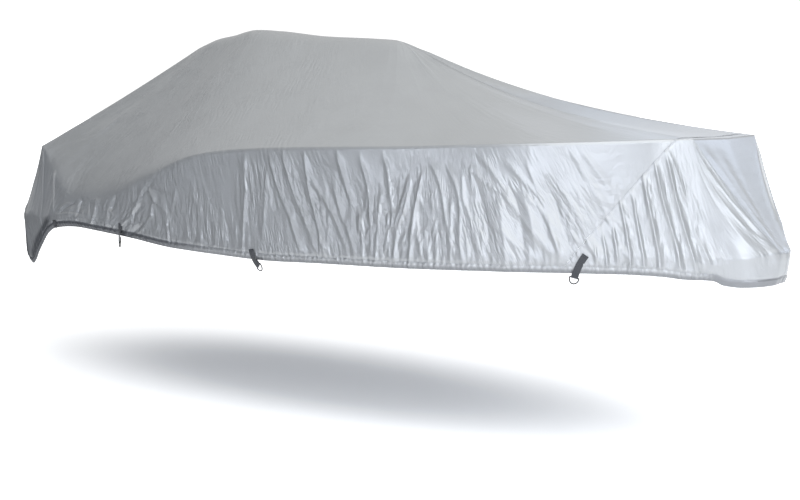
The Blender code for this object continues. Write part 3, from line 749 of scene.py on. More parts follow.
def top_lift(s, share, seed):
    """Lift of the top's faint pulls, in metres."""
    random = np.random.default_rng(seed)
    lift = np.zeros_like(s)
    for count, stretch, band, length, reaches, heights in TOP_PULLS:
        for _ in range(count):
            place, low = random.uniform(*stretch), random.uniform(*band)
            high, reach = low + random.uniform(*length), random.uniform(*reaches)
            lean, height = random.normal(0.0, PULL_SPREAD), random.uniform(*heights) * MM
            across = (s - place - lean * (share - low)) / reach
            along = ramp(share, low, low + PULL_FADE) * (1 - ramp(share, high - PULL_FADE, high))
            lift += height * along * crest_shape(across)
    lift *= ramp(share, 0.0, TOP_FADE[0]) * (1 - ramp(share, TOP_FADE[1], 1.0))
    return lift * ramp(s, 0.0, TOP_MIDDLE) * (1 - ramp(s, S_END - TOP_MIDDLE, S_END))


print("nose seam passes the rail at x =", round(SEAM_TOP[0] - PEAK[0], 3))

# %% [markdown]
# ## What the cloth carries
# Three things are kept with each point of the cloth, for its material to use. The first UV map
# is its place on the flat cloth and the second is turned with the pull, both in metres. Two
# numbers say how much painted shade it takes, on the casing and on the stern pocket's
# turned-in edges, and how loosely it hangs.

# %% Mark the cloth's points
PART_PAINTED_SHADE = 0.6             # how much painted shade the casing's foot and the platform's hem take
FOOT = (0.026, 0.010)       # heights between which the casing's foot takes its painted shade
CASING_TOP = (BAND + 0.004, BAND - 0.004)   # heights between which the casing's painted shade begins
PAINTED_SHADE_AFT, PAINTED_SHADE_FRONT = (3.4, 2.6), (5.95, 6.10)     # s between which the casing takes its painted shade
POCKET_EDGE = (0.110, 0.070), (1.08, 1.16), (1.64, 1.54)    # painted shade on the pocket's edges: heights, and s at its two ends
POCKET_FOLD = 1.00, 0.06, (0.30, 0.20)      # painted shade where the pocket's cloth turns: s, half width, and heights where it ends
SLACK_TOP, SLACK_FULL = 0.05, 0.45      # metres above the rail, and share of the skirt below it


def painted_shade_share(place, height):
    """How much painted shade the cloth takes, 0 to 1: on the casing, and on the turned-in edges of the
    stern pocket.
    """
    whole = np.maximum(ramp(place, *PAINTED_SHADE_AFT), PART_PAINTED_SHADE * ramp(place, *PAINTED_SHADE_FRONT))
    casing = np.maximum(PART_PAINTED_SHADE * ramp(height, *FOOT), ramp(height, *CASING_TOP) * whole)
    heights, aft, fore = POCKET_EDGE
    edge = ramp(height, *heights) * ramp(place, *aft) * ramp(place, *fore)
    middle, half, heights = POCKET_FOLD
    fold = np.exp(-((place - middle) / half) ** 2) * ramp(height, *heights)
    return np.maximum(casing, np.maximum(edge, fold))


def mark_cloth(mesh, cut):
    """Adds the two UV maps and the two numbers. cut is each point's place on the flat cloth."""
    place, height = np.abs(cut[:, 0]), cut[:, 1]
    low, high = (smooth_line(rows, place) for rows in (HEM_LINE, RAIL_LINE))
    total = np.linalg.norm(high - low, axis=1)
    lean = smooth_line(PULL_LEAN, place)[:, 0]
    pull = np.column_stack((place - lean * np.clip(height, 0.0, total), height))
    pull = pull * np.sign(cut[:, :1] + 1e-9)
    corner = np.zeros(len(mesh.loops), dtype=np.int32)
    mesh.loops.foreach_get("vertex_index", corner)
    for name, flat in (("cut", cut), ("pull", pull)):
        layer = mesh.uv_layers.new(name=name)
        layer.data.foreach_set("uv", flat[corner].ravel().astype(np.float32))
    loose, taut = smooth_line(SLACK, place).T
    loose = taut + (loose - taut) * ramp(height, total + SLACK_TOP, total * SLACK_FULL)
    # the hem number is painted shade: it darkens the casing's foot and the stern pocket's turned-in
    # edges
    for name, values in (("hem", painted_shade_share(place, height)), ("slack", loose)):
        numbers = mesh.attributes.new(name, "FLOAT", "POINT")
        numbers.data.foreach_set("value", values.astype(np.float32))


# below this height the casing takes its full painted shade
print("casing is dull below", round(CASING_TOP[1], 3), "m")

# %% [markdown]
# ## Sheets
# Each panel of cloth is one open sheet, dense enough to hold its folds. The skirt needs a
# column every 5 to 9 mm, except across the plain stern. The top needs a third of that, so
# three skirt columns meet one top column in a six-sided face along the rail. The hem is
# turned up inside, as on the real cover. The two sides are made apart, then welded on the
# centreline and the ridge.

# %% Build a sheet of both sides
INSIDE = 0.0042             # how far the turned hem lies inside the skirt
GROUP = 3                   # skirt columns to one column of the top
UPWARD = 0.3                # how much a face's upward lean helps to tell its outside
SEAM_ABOVE = 0.02           # share of the top over which the seam's dip begins
HEM_ROWS = (
    # height up the cloth, and the part of INSIDE by which the row lies inside
    (0.033, 1.0), (0.020, 1.0), (0.006, 1.0), (-0.001, 0.8), (-0.003, 0.4), (-0.001, 0.1),
)
OUTER_ROWS = (0.004, 0.010, 0.017, 0.024, 0.030, 0.035, 0.041)
CASING_ROWS = []            # where the stitches of the casing run, a row for each half made
TOP_SHARES = tuple(t / 22 for t in (0.25, 0.7, 1.3, 2, 3, 4, 5, 6, 7, 8, 9, 10, 11, 12, 13, 14,
                                    15, 16, 17, 18, 19, 19.6, 20.2, 20.7, 21.1, 21.5, 21.8, 22))


def spaced(stretches, end):
    """Places along s in stretches of (start, spacing), each with whole groups of columns."""
    starts = [row[0] for row in stretches] + [end]
    places = [starts[0]]
    for (start, spacing), stop in zip(stretches, starts[1:]):
        count = GROUP * max(1, round((stop - start) / spacing / GROUP))
        places += [start + (stop - start) * (k + 1) / count for k in range(count)]
    return np.array(places)


def lifted(place, lift, out):
    """Points moved along the sheet's own normal, or level out where it has none."""
    across, along = np.gradient(place, axis=1), np.gradient(place, axis=0)
    normal = np.cross(across, along)
    size = np.linalg.norm(normal, axis=-1, keepdims=True)
    normal = np.where(size > 1e-10, normal / np.maximum(size, 1e-12), out)
    facing = np.sign(np.sum(normal * out, axis=-1, keepdims=True) + UPWARD * normal[..., 2:])
    return place + normal * facing * lift[..., None]


def turned_hem(s, total, out, side, folds, seed):
    """Rows of points on the hem's inside, and their heights up the cloth."""
    up = np.array([np.full(len(s), row[0]) for row in HEM_ROWS])
    inset = np.array([row[1] for row in HEM_ROWS])[:, None] * INSIDE
    grid = np.broadcast_to(s, up.shape)
    lift = skirt_lift(grid, np.maximum(up, OUTER_ROWS[0]), total, side, folds, seed)
    return skirt_place(s, up, side) + out * (lift - inset)[..., None], up


def top_rows(s, rail, draw, rail_row, side, seed):
    """Rows of points on the top, above the rail's, and the way that each lies up the cloth."""
    top = top_place(s, TOP_SHARES, side)
    run = np.linalg.norm(top - rail, axis=-1)
    top = top + draw * np.exp(-run / RAIL_ROUND)[..., None]
    whole = np.concatenate((rail_row, top))
    share = np.array((0.0,) + TOP_SHARES)[:, None] * np.ones(len(s))
    lift = top_lift(np.broadcast_to(s, share.shape), share, seed + TOP_SEED)
    lift -= seam_dip(whole) * ramp(share, 0.0, SEAM_ABOVE)
    top = lifted(whole, lift, np.array((0.0, 0.0, 1.0)))[1:]
    top[-1, :, 1] = 0.0
    return top, np.cumsum(np.linalg.norm(np.diff(whole, axis=0), axis=-1), axis=0)


def half_sheet(s, skirt_rows, side, folds, seed):
    """Point rows of one side: the hem's inside, the skirt and then the top."""
    _, _, rail, out, low, high = side_lines(s, side)
    total = low + high
    first = OUTER_ROWS[-1]
    up = [np.full(len(s), v) for v in OUTER_ROWS]
    up += [first + (total - first) * q for q in np.linspace(0.0, 1.0, skirt_rows + 1)[1:]]
    up = np.array(up)
    draw = rail_draw(s, total, side)
    place = skirt_place(s, up, side) + draw * np.exp(-(total - up) / RAIL_ROUND)[..., None]
    lift = skirt_lift(np.broadcast_to(s, up.shape), up, total, side, folds, seed)
    outer = lifted(place, lift - seam_dip(place), out)
    inner, inner_up = turned_hem(s, total, out, side, folds, seed)
    few = slice(None, None, GROUP)
    top, length = top_rows(s[few], rail[few], draw[few], outer[-1:, few], side, seed)
    for rows in (inner, outer, top):
        for column, end in ((0, 0.0), (-1, S_END)):
            if s[column] == end:
                rows[:, column, 1] = 0.0
    CASING_ROWS.append((outer[OUTER_ROWS.index(BAND)], out))
    return (inner, outer, top), (-inner_up, up, total[few] + length)


print(len(HEM_ROWS), "rows inside the hem,", len(OUTER_ROWS), "outside")

# %% [markdown]
# ## From rows to faces
# Each grid of points becomes a grid of four-sided faces. The port side is a mirror image, so
# its faces list their corners in the other order, to look outward like the rest.

# %% One mesh of both sides
def four_corners(index):
    """Faces between the rows and columns of a grid of point numbers."""
    corners = (index[:-1, :-1], index[:-1, 1:], index[1:, 1:], index[1:, :-1])
    return np.stack([corner.ravel() for corner in corners], axis=1).tolist()


def sheet_mesh(name, s, skirt_rows, folds, seed):
    """Both halves of a sheet in one mesh, which doesn't join them yet."""
    points, cuts, faces = [], [], []
    for number, (_, side) in enumerate(SIDES):
        (inner, outer, top), ups = half_sheet(s, skirt_rows, side, folds, seed + PORT_SEED * number)
        fine = np.concatenate((inner, outer))
        fine_up = np.concatenate((ups[0], ups[1]))
        base = sum(len(p) for p in points)
        rows, columns = fine.shape[:2]
        points += [fine.reshape(-1, 3), top.reshape(-1, 3)]
        cuts += [np.column_stack((side * np.tile(s, rows), fine_up.ravel())),
                 np.column_stack((side * np.tile(s[::GROUP], len(top)), ups[2].ravel()))]
        index = base + np.arange(rows * columns).reshape(rows, columns)
        crown = base + rows * columns + np.arange(top[..., 0].size).reshape(top.shape[:2])
        found, edge = four_corners(index), index[-1]
        for j in range(top.shape[1] - 1):
            below = edge[GROUP * j:GROUP * (j + 1) + 1]
            found.append([*below, crown[0, j + 1], crown[0, j]])
        found += four_corners(crown)
        faces += found if side < 0 else [face[::-1] for face in found]
    mesh = bpy.data.meshes.new(name)
    mesh.from_pydata(np.concatenate(points).tolist(), [], [[int(i) for i in f] for f in faces])
    mark_cloth(mesh, np.concatenate(cuts))
    return mesh


print("faces of a small grid:", len(four_corners(np.arange(12).reshape(3, 4))))

# %% [markdown]
# ## Two panels, one seam
# The cover is sewn of two panels. Each is made as a sheet that runs on past the seam, with
# rows as fine as its own folds need, and is then cut on the seam's plane, so both end on the
# same line. The cut edge gives the line that the seam's stitches follow later.

# %% Weld, cut and keep one side
ON_LINE = 1e-5              # a point this near a plane is on it
WELDS = (0.0001, 0.0002)    # reach of the weld on the centreline, and of the one everywhere
CUT_REACH = 1e-6            # a point this near the cut isn't split from it
SHEET_SEED = 11             # start of the random numbers of both panels
BODY_ROWS, NOSE_ROWS = 38, 84   # rows of each panel's skirt, above those of the hem
BODY_COLUMNS = (
    # s where a stretch starts, and the spacing of its columns
    (0.0, 0.024), (0.80, 0.009), (1.39, 0.0062), (5.30, 0.0075), (5.95, 0.03),
)
NOSE_COLUMNS = ((5.20, 0.0045), (6.10, 0.0065))


def keep_side(mesh, ahead):
    """Welds the halves, cuts them on the seam's plane and keeps the part ahead or behind."""
    (x1, z1), (x0, z0) = SEAM_TOP, SEAM_FOOT
    bm = bmesh.new()
    bm.from_mesh(mesh)
    middle = [v for v in bm.verts if abs(v.co.y) < ON_LINE]
    for verts, reach in zip((middle, bm.verts), WELDS):
        bmesh.ops.remove_doubles(bm, verts=verts, dist=reach)
    bmesh.ops.bisect_plane(bm, geom=bm.verts[:] + bm.edges[:] + bm.faces[:], dist=CUT_REACH,
                           plane_co=(x0 - PEAK[0], 0.0, z0 - PEAK[2]),
                           plane_no=(z1 - z0, 0.0, x0 - x1),
                           clear_outer=not ahead, clear_inner=ahead)
    line = seam_chain(bm)
    bm.to_mesh(mesh)
    bm.free()
    mesh.shade_smooth()
    return line


def seam_chain(bm):
    """Points along the fresh cut, from the starboard hem over the deck to the port hem."""
    links = {}
    for edge in (edge for edge in bm.edges if edge.is_boundary):
        if max(abs(seam_distance(np.array(v.co))) for v in edge.verts) < ON_LINE:
            a, b = edge.verts
            links.setdefault(a, []).append(b)
            links.setdefault(b, []).append(a)
    here = min((v for v in links if len(links[v]) == 1), key=lambda v: v.co.y)
    chain, last = [here], None
    while True:
        ahead = [v for v in links[here] if v is not last]
        if not ahead:
            return np.array([v.co for v in chain])
        here, last = ahead[0], here
        chain.append(here)


def add_piece(name, mesh, finish):
    """A mesh as an object in the scene, with its material."""
    piece = bpy.data.objects.new(name, mesh)
    bpy.context.scene.collection.objects.link(piece)
    if finish:
        mesh.materials.append(finish)
    return piece


body_mesh = sheet_mesh("main_cloth", spaced(BODY_COLUMNS, S_END), BODY_ROWS,
                       FOLDS + QUARTER_FOLDS, SHEET_SEED)
seam_line = keep_side(body_mesh, ahead=False)
nose_mesh = sheet_mesh("nose_cloth", spaced(NOSE_COLUMNS, S_END), NOSE_ROWS,
                       FOLDS + NOSE_FOLDS, SHEET_SEED)
keep_side(nose_mesh, ahead=True)
body_casing, nose_casing = CASING_ROWS[:2], CASING_ROWS[2:]
print("seam:", len(seam_line), "points")
print("faces of the body and the nose:", len(body_mesh.polygons), len(nose_mesh.polygons))

# %% [markdown]
# ## Webbing tabs
# Four tabs of 36 mm webbing are sewn on the hem on each side. A tab runs down the cloth,
# round the bar of its ring and up again behind. It never hangs quite straight: it leans with
# the pull of its strap, and twists a little on the way down. So its middle line is walked in
# short steps from the hem, up and down, while its heading turns evenly.

# %% The way a tab runs
WEB_WIDTH, WEB_THICK = 0.036, 0.0016
WEB_CLEAR = 0.0030          # how far a tab's back stands off the plain cloth
LOOP, LOOP_STEPS = 0.0041, 16   # radius of the webbing's middle round the ring's bar, and its steps
TAB_SPAN = 0.02             # half of the stretch of hem that a tab lines up with
TAB_STEP = 0.003            # length of a step along a tab


def rotated(first, second, angle):
    """Two square directions turned by an angle in their own plane."""
    turn, rise = math.cos(angle), math.sin(angle)
    return first * turn + second * rise, second * turn - first * rise


def tab_directions(s, side):
    """Foot of a tab on the hem, and the ways that the cloth falls, runs forward and faces."""
    near = np.array([s - TAB_SPAN, s, s + TAB_SPAN])
    hem, knee = side_points(HEM_LINE, near, side), side_points(KNEE_LINE, near, side)
    fall = Vector(hem[1] - knee[1]).normalized()
    level = Vector(hem[2] - hem[0])
    level = (level - fall * level.dot(fall)).normalized()
    return Vector(hem[1]), fall, level, (level.cross(fall) * side).normalized()


def tab_route(s, side, above, below, lean, swing, twist, has_ring):
    """A tab's webbing as rows of (middle point, across, outward), and where its ring sits."""
    foot, fall, level, out = tab_directions(s, side)
    below = below - LOOP if has_ring else below

    def heading(depth):
        bent = lean + (swing - lean) * float(ramp(depth, -above, below))
        return rotated(fall, level, math.radians(bent))

    def walk(end):
        point, found, steps = foot, [], max(2, round(abs(end) / TAB_STEP))
        for step in range(1, steps + 1):
            point = point + heading(end * (step - 0.5) / steps)[0] * (end / steps)
            found.append((end * step / steps, point))
        return found

    places = []
    for depth, point in walk(-above)[::-1] + [(0.0, foot)] + walk(below):
        down, sideways = heading(depth)
        turned = math.radians(twist) * float(ramp(depth, -above, 0.0))
        across, facing = rotated(sideways, out, turned)
        stand = WEB_CLEAR + WEB_THICK + math.sin(turned) * WEB_WIDTH / 2
        places.append((depth, point + out * stand, down, across, facing))
    route = [(point, across, facing) for _, point, _, across, facing in places]
    if not has_ring:
        return route, None
    _, point, down, across, facing = places[-1]
    bar = point - facing * LOOP
    for step in range(1, LOOP_STEPS + 1):
        turn = math.pi * step / LOOP_STEPS
        around = facing * math.cos(turn) + down * math.sin(turn)
        route.append((bar + around * LOOP, across, around))
    for depth, point, _, sideways, facing in places[-2::-1]:
        if depth > LOOP + WEB_THICK:
            route.append((point - facing * (2 * LOOP), sideways, -facing))
    return route, (bar, down, across, facing)


print("tabs:", [row[0] for row in TABS])

# %% [markdown]
# ## Webbing as a swept strip
# Webbing is a flat band with a slightly thicker selvage along both edges. Its outline is
# swept along the tab's way, because a plain strip of faces would look like paper. Closed
# shapes like this one, the rings and the stitches all need their faces turned outward, so one
# function does that for all.

# %% Sweep the webbing
WEB_PLACES = (-0.97, -0.90, -0.80, -0.77, -0.4, 0.0, 0.4, 0.77, 0.80, 0.90, 0.97)   # in half widths
SELVAGE, WEB_MIDDLE = 0.8, 0.82     # where the selvage begins, and how thick it is between
WEB_SHARP = 50                      # degrees; sharper corners of the webbing stay sharp


def closed_mesh(name, points, faces):
    """A smooth mesh of closed shapes, with every face turned outward."""
    mesh = bpy.data.meshes.new(name)
    mesh.from_pydata([tuple(point) for point in points], [], faces)
    bm = bmesh.new()
    bm.from_mesh(mesh)
    bmesh.ops.recalc_face_normals(bm, faces=bm.faces)
    bm.to_mesh(mesh)
    bm.free()
    mesh.shade_smooth()
    return mesh


def web_section():
    """Outline of the webbing: flat, a little thicker along both selvages, with round edges."""
    half, thick = WEB_WIDTH / 2, WEB_THICK / 2
    face = [(x * half, thick * (1.0 if abs(x) > SELVAGE else WEB_MIDDLE)) for x in WEB_PLACES]
    return face + [(half, 0.0)] + [(x, -z) for x, z in reversed(face)] + [(-half, 0.0)]


def strip_mesh(name, route, section):
    """A section swept along a route of (point, across, outward), with flat ends and a UV map."""
    points, faces, cut, run = [], [], [], 0.0
    for number, (point, across, outward) in enumerate(route):
        run += (point - route[number - 1][0]).length if number else 0.0
        points += [point + across * x + outward * z for x, z in section]
        cut += [(x, run) for x, _ in section]
    count = len(section)
    for row in range(len(route) - 1):
        for k in range(count):
            a, b = row * count + k, row * count + (k + 1) % count
            faces.append((a, b, b + count, a + count))
    faces += [tuple(range(count))[::-1], tuple(range(len(points) - count, len(points)))]
    mesh = closed_mesh(name, points, faces)
    layer = mesh.uv_layers.new(name="cut")
    for loop in mesh.loops:
        layer.data[loop.index].uv = cut[loop.vertex_index]
    mesh.set_sharp_from_angle(angle=math.radians(WEB_SHARP))
    return mesh


tab_pieces, ring_places, tab_routes = [], [], {}
for side_name, side in SIDES:
    for name, s, above, below, lean, swing, twist, has_ring in TABS:
        route, place = tab_route(s, side, above, below, lean, swing, twist, has_ring)
        mesh = strip_mesh(f"webbing_{side_name}_{name}", route, web_section())
        tab_pieces.append((add_piece(mesh.name, mesh, None), f"tab_{side_name}_{name}"))
        tab_routes[mesh.name] = route
        if has_ring:
            ring_places.append((f"{side_name}_{name}", place))
print(len(tab_pieces), "tabs of webbing")

# %% [markdown]
# ## D rings
# A D ring is one length of steel wire bent round a former and butted in the middle of its
# straight bar, where the webbing hides the joint. It is drawn as the wire's middle line with
# a circle swept along it.

# %% Bend the wire
WIRE, WIRE_SIDES = 0.0030, 12       # radius of the wire, and the sides of its circle
RING_HALF, RING_DROP = 0.0235, 0.033    # half the bar's length, and depth of the D below it
RING_CORNER = 0.004                 # radius of the bends at the bar's ends
CORNER_STEPS, BOW_STEPS = 6, 40     # steps of a bend, and of the bow
BAR_PLACES = (-0.5, 0.0, 0.5)       # points of the straight bar, as shares of its half length


def ring_line():
    """The wire's middle line as (across from the bar's middle, down from the bar)."""
    corner, depth = RING_CORNER, RING_DROP - RING_CORNER
    straight = RING_HALF - corner
    turns = [math.pi / 2 * k / CORNER_STEPS for k in range(CORNER_STEPS + 1)]
    bow = [math.pi * k / BOW_STEPS for k in range(1, BOW_STEPS)]
    right = [(straight + corner * math.sin(t), corner - corner * math.cos(t)) for t in turns]
    line = [(x * straight, 0.0) for x in BAR_PLACES] + right
    line += [(RING_HALF * math.cos(t), corner + depth * math.sin(t)) for t in bow]
    return line + [(-x, z) for x, z in reversed(right)]


def ring_mesh(name, bar, down, across, facing):
    """Round wire swept along the D."""
    line = [bar + across * x + down * z for x, z in ring_line()]
    count, around = len(line), WIRE_SIDES
    points, faces = [], []
    for k, point in enumerate(line):
        along = (line[(k + 1) % count] - line[k - 1]).normalized()
        inward = along.cross(facing)
        for j in range(around):
            turn = math.tau * j / around
            points.append(point + (facing * math.cos(turn) + inward * math.sin(turn)) * WIRE)
    for k in range(count):
        for j in range(around):
            a, b, c = k * around, (k + 1) % count * around, (j + 1) % around
            faces.append((a + j, a + c, b + c, b + j))
    return closed_mesh(name, points, faces)


ring_pieces = []
for name, place in ring_places:
    mesh = ring_mesh(f"d_ring_{name}", *place)
    ring_pieces.append((add_piece(mesh.name, mesh, None), f"ring_{name}"))
print(len(ring_pieces), "rings")

# %% [markdown]
# ## Stitches
# Thread is what tells a sewn hem from a folded edge. One row holds the hem's casing, two rows
# hold the seam of the nose panel, and a few rows hold each tab. A stitch is a tiny bead, about
# 5 mm long: it dives into the cloth at both ends and stands proud in the middle.

# %% Sew along a line
STITCH, STITCH_GAP = 0.0050, 0.0012     # length of a stitch, and the hole between two
THREAD = 0.0005                         # radius of the thread
STITCH_PLACES = (0.0, 0.25, 0.75, 1.0)  # points along a stitch; the outer two are in the cloth
THREAD_TURNS = (0.0, math.pi / 2, math.pi, 3 * math.pi / 2)     # corners of the thread
WITHIN = np.array((0.6, 0.0, -0.7))     # a place inside the cover, which tells its outside


def way_along(line):
    """How far along a line each of its points lies."""
    return np.concatenate(([0.0], np.cumsum(np.linalg.norm(np.diff(line, axis=0), axis=1))))


def even_points(line, step):
    """Points every step along a line of points, measured along it."""
    line = np.asarray(line, dtype=float)
    run = way_along(line)
    places = np.arange(0.0, run[-1], step)
    return np.column_stack([np.interp(places, run, line[:, k]) for k in range(3)])


def sew(name, lines, finish, radius=THREAD):
    """All stitches along some lines of points, as one piece. Each line has its outward ways.

    A stitch has ten points: its two ends, and between them two rings of four.
    """
    points, faces = [], []
    for line, ways in lines:
        both = np.column_stack((line, ways))
        run = way_along(line)
        for start in np.arange(0.0, run[-1] - STITCH, STITCH + STITCH_GAP):
            rows = [np.array([np.interp(start + STITCH * t, run, both[:, k]) for k in range(6)])
                    for t in STITCH_PLACES]
            along = unit(rows[3][:3] - rows[0][:3])
            out = unit(rows[1][3:])
            side_way = np.cross(along, out)
            base = len(points)
            points.append(rows[0][:3] - out * radius)
            for row in rows[1:3]:
                for turn in THREAD_TURNS:
                    corner = out * math.cos(turn) + side_way * math.sin(turn)
                    points.append(row[:3] + corner * radius)
            points.append(rows[3][:3] - out * radius)
            for j in range(4):
                a, b = base + 1 + j, base + 1 + (j + 1) % 4
                faces += [(base, b, a), (a, b, b + 4, a + 4), (a + 4, b + 4, base + 9)]
    print(name + ":", len(points) // 10, "stitches")
    return add_piece(name, closed_mesh(name, points, faces), finish)


def laid_on(mesh, line, lift):
    """A line of points laid on a mesh, with the ways out of it."""
    tree = BVHTree.FromPolygons([v.co for v in mesh.vertices], [p.vertices for p in mesh.polygons])
    found = [tree.find_nearest(Vector(p)) for p in line]
    ways = []
    for hit, normal, _, _ in found:
        facing = normal if normal.dot(Vector(np.array(hit) - WITHIN)) > 0 else -normal
        ways.append(facing)
    return np.array([hit + way * lift for (hit, *_), way in zip(found, ways)]), np.array(ways)


print(round(1 / (STITCH + STITCH_GAP)), "stitches to a metre")

# %% [markdown]
# ## Colours and nodes
# Colours are picked as sRGB hex values, as a maker's colour card gives them, and the renderer
# works in linear light, so one function turns one into the other. Another adds a node, sets
# it up and links it in one call.

# %% Colour and node helpers
def colour(code):
    """Linear RGBA of an sRGB hex colour."""
    parts = [int(code[i:i + 2], 16) / 255 for i in (0, 2, 4)]
    linear = [c / 12.92 if c <= 0.04045 else ((c + 0.055) / 1.055) ** 2.4 for c in parts]
    return (*linear, 1.0)


def add_node(tree, kind, inputs=(), **settings):
    """One node with its settings; an input is a value, or a socket to link from."""
    made = tree.nodes.new(kind)
    for key, value in settings.items():
        setattr(made, key, value)
    for key, value in dict(inputs).items():
        if isinstance(value, bpy.types.NodeSocket):
            tree.links.new(value, made.inputs[key])
        else:
            made.inputs[key].default_value = value
    return made


def blank_material(name):
    """A new material with its tree and its shader."""
    made = bpy.data.materials.new(name)
    made.use_nodes = True
    return made, made.node_tree, made.node_tree.nodes["Principled BSDF"]


print("silver as linear light:", [round(v, 3) for v in colour("B9BDC1")])

# %% [markdown]
# ## Silver coated polyester
# The cloth is a thin polyester weave with a silver polyurethane coat: aluminium flakes in a
# clear binder, spread on in one film. The flakes lie nearly flat, so it shines like satin,
# not like foil: half metallic, fairly rough. Packing leaves a net of faint crisp creases.
# The weave's threads are 0.3 mm apart, too fine to show, so it is drawn with a 3 mm pitch.
# The creases are the edges of a stretched cell pattern, in patches, and are deepest where
# the cloth hangs loosely.

# %% The cloth's material
COAT_CLOUDS = 5.0           # patches per metre of a slightly other tint and shine
COAT_ROUGHNESS = (0.28, 0.36)
WANDER, WANDER_CLOUDS = 0.9, 7.0    # how far creases stray, in cells, and its patches per metre
PATCH_EDGES = (0.40, 0.62)  # noise between which a patch gets fully creased
CALM_SHARE = 0.15           # depth of the creases between the patches, as a share
CREASES = (
    # cells per metre across the pull and along it, depth, and patches of depth per metre
    (17.0, 4.5, 1.0, 3.0),
    (42.0, 12.0, 0.5, 6.0),
    (85.0, 30.0, 0.15, 9.0),
)
CREASE_DEPTH = 0.0095       # metres of height for a depth of 1 in the table
GRAIN, GRAIN_DEPTH = 60.0, 0.10     # grains per metre of a fine unevenness, and its depth
WAVE = math.tau / 20        # scale that gives Blender's wave texture one wave a metre
YARN_PITCH, YARN_DEPTH = 0.003, 0.0002


def packing_creases(tree, where):
    """Height of the creases: cells drawn out along the pull, each a small roof, in patches."""
    pull = add_node(tree, "ShaderNodeUVMap", uv_map="pull").outputs["UV"]
    stray = add_node(tree, "ShaderNodeTexNoise",
                     {"Vector": where, "Scale": WANDER_CLOUDS, "Detail": 3.0}).outputs["Color"]
    height = 0.0
    for across, along, depth, clouds in CREASES:
        patch = add_node(tree, "ShaderNodeTexNoise",
                         {"Vector": where, "Scale": clouds, "Detail": 1.0}).outputs["Fac"]
        patch = add_node(tree, "ShaderNodeMapRange",
                         {"Value": patch, "From Min": PATCH_EDGES[0], "From Max": PATCH_EDGES[1],
                          "To Min": CALM_SHARE * depth, "To Max": depth}).outputs["Result"]
        cell = add_node(tree, "ShaderNodeVectorMath", {0: pull, 1: (across, along, 0.0)},
                        operation="MULTIPLY").outputs["Vector"]
        cell = add_node(tree, "ShaderNodeVectorMath", {0: stray, 1: (WANDER, WANDER, 0.0), 2: cell},
                        operation="MULTIPLY_ADD").outputs["Vector"]
        roof = add_node(tree, "ShaderNodeTexVoronoi", {"Vector": cell, "Scale": 1.0},
                        feature="DISTANCE_TO_EDGE", voronoi_dimensions="2D").outputs["Distance"]
        height = add_node(tree, "ShaderNodeMath", {0: roof, 1: patch, 2: height},
                          operation="MULTIPLY_ADD").outputs["Value"]
    grain = add_node(tree, "ShaderNodeTexNoise", {"Vector": where, "Scale": GRAIN, "Detail": 4.0,
                                                  "Roughness": 0.6}).outputs["Fac"]
    return add_node(tree, "ShaderNodeMath", {0: grain, 1: GRAIN_DEPTH, 2: height},
                    operation="MULTIPLY_ADD").outputs["Value"]


def coated_polyester(name, code, tint, shaded):
    """Silver-coated woven polyester, with packing creases, a slight unevenness in its coat, and painted
    shade where the hem number says.
    """
    made, tree, shader = blank_material(name)
    cut = add_node(tree, "ShaderNodeUVMap", uv_map="cut").outputs["UV"]
    where = add_node(tree, "ShaderNodeNewGeometry").outputs["Position"]
    # the hem number: how much painted shade this point of the cloth takes
    turned = add_node(tree, "ShaderNodeAttribute", attribute_name="hem").outputs["Fac"]
    slack = add_node(tree, "ShaderNodeAttribute", attribute_name="slack").outputs["Fac"]
    clouds = add_node(tree, "ShaderNodeTexNoise",
                      {"Vector": where, "Scale": COAT_CLOUDS, "Detail": 4.0}).outputs["Fac"]
    coat = add_node(tree, "ShaderNodeMix", {"Factor": clouds, 6: colour(code), 7: colour(tint)},
                    data_type="RGBA").outputs[2]
    # painted shade: the coat is mixed towards the shaded colour on the casing and the pocket's edges
    coat = add_node(tree, "ShaderNodeMix", {"Factor": turned, 6: coat, 7: colour(shaded)},
                    data_type="RGBA").outputs[2]
    worn = add_node(tree, "ShaderNodeMapRange",
                    {"Value": clouds, "To Min": COAT_ROUGHNESS[0], "To Max": COAT_ROUGHNESS[1]})
    depth = add_node(tree, "ShaderNodeMath", {0: packing_creases(tree, where), 1: slack},
                     operation="MULTIPLY").outputs["Value"]
    yarns = [add_node(tree, "ShaderNodeTexWave", {"Vector": cut, "Scale": WAVE / YARN_PITCH},
                      bands_direction=direction).outputs["Fac"] for direction in ("X", "Y")]
    weave = add_node(tree, "ShaderNodeMath", {0: yarns[0], 1: yarns[1]},
                     operation="MULTIPLY").outputs["Value"]
    small = add_node(tree, "ShaderNodeBump",
                     {"Height": weave, "Strength": 0.25, "Distance": YARN_DEPTH}).outputs["Normal"]
    large = add_node(tree, "ShaderNodeBump", {"Height": depth, "Strength": 1.0,
                                              "Distance": CREASE_DEPTH, "Normal": small})
    tree.links.new(coat, shader.inputs["Base Color"])
    tree.links.new(worn.outputs["Result"], shader.inputs["Roughness"])
    tree.links.new(large.outputs["Normal"], shader.inputs["Normal"])
    shader.inputs["Metallic"].default_value = 0.45
    shader.inputs["IOR"].default_value = 1.5
    return made


# 54565A is the colour of the painted shade on the casing and the stern pocket's edges
cloth = coated_polyester("silver_coated_polyester", "8E9092", "989A9C", "54565A")
main_cloth = add_piece("main_cloth", body_mesh, cloth)
nose_cloth = add_piece("nose_cloth", nose_mesh, cloth)
print("cloth, in square metres:",
      [round(sum(face.area for face in mesh.polygons), 2) for mesh in (body_mesh, nose_mesh)])

# %% [markdown]
# ## Webbing, thread and wire
# The webbing is dark slate polypropylene, nearly black where its ribs don't catch the light:
# coarse ribs across it, each a row of the weft, and a slight shine of plastic yarn. The crests
# of its ribs are painted paler, a painted highlight. The thread is bonded polyester, lighter on
# the cloth than on the webbing. The rings are plated steel, nearly black too and a little
# uneven in their plating.

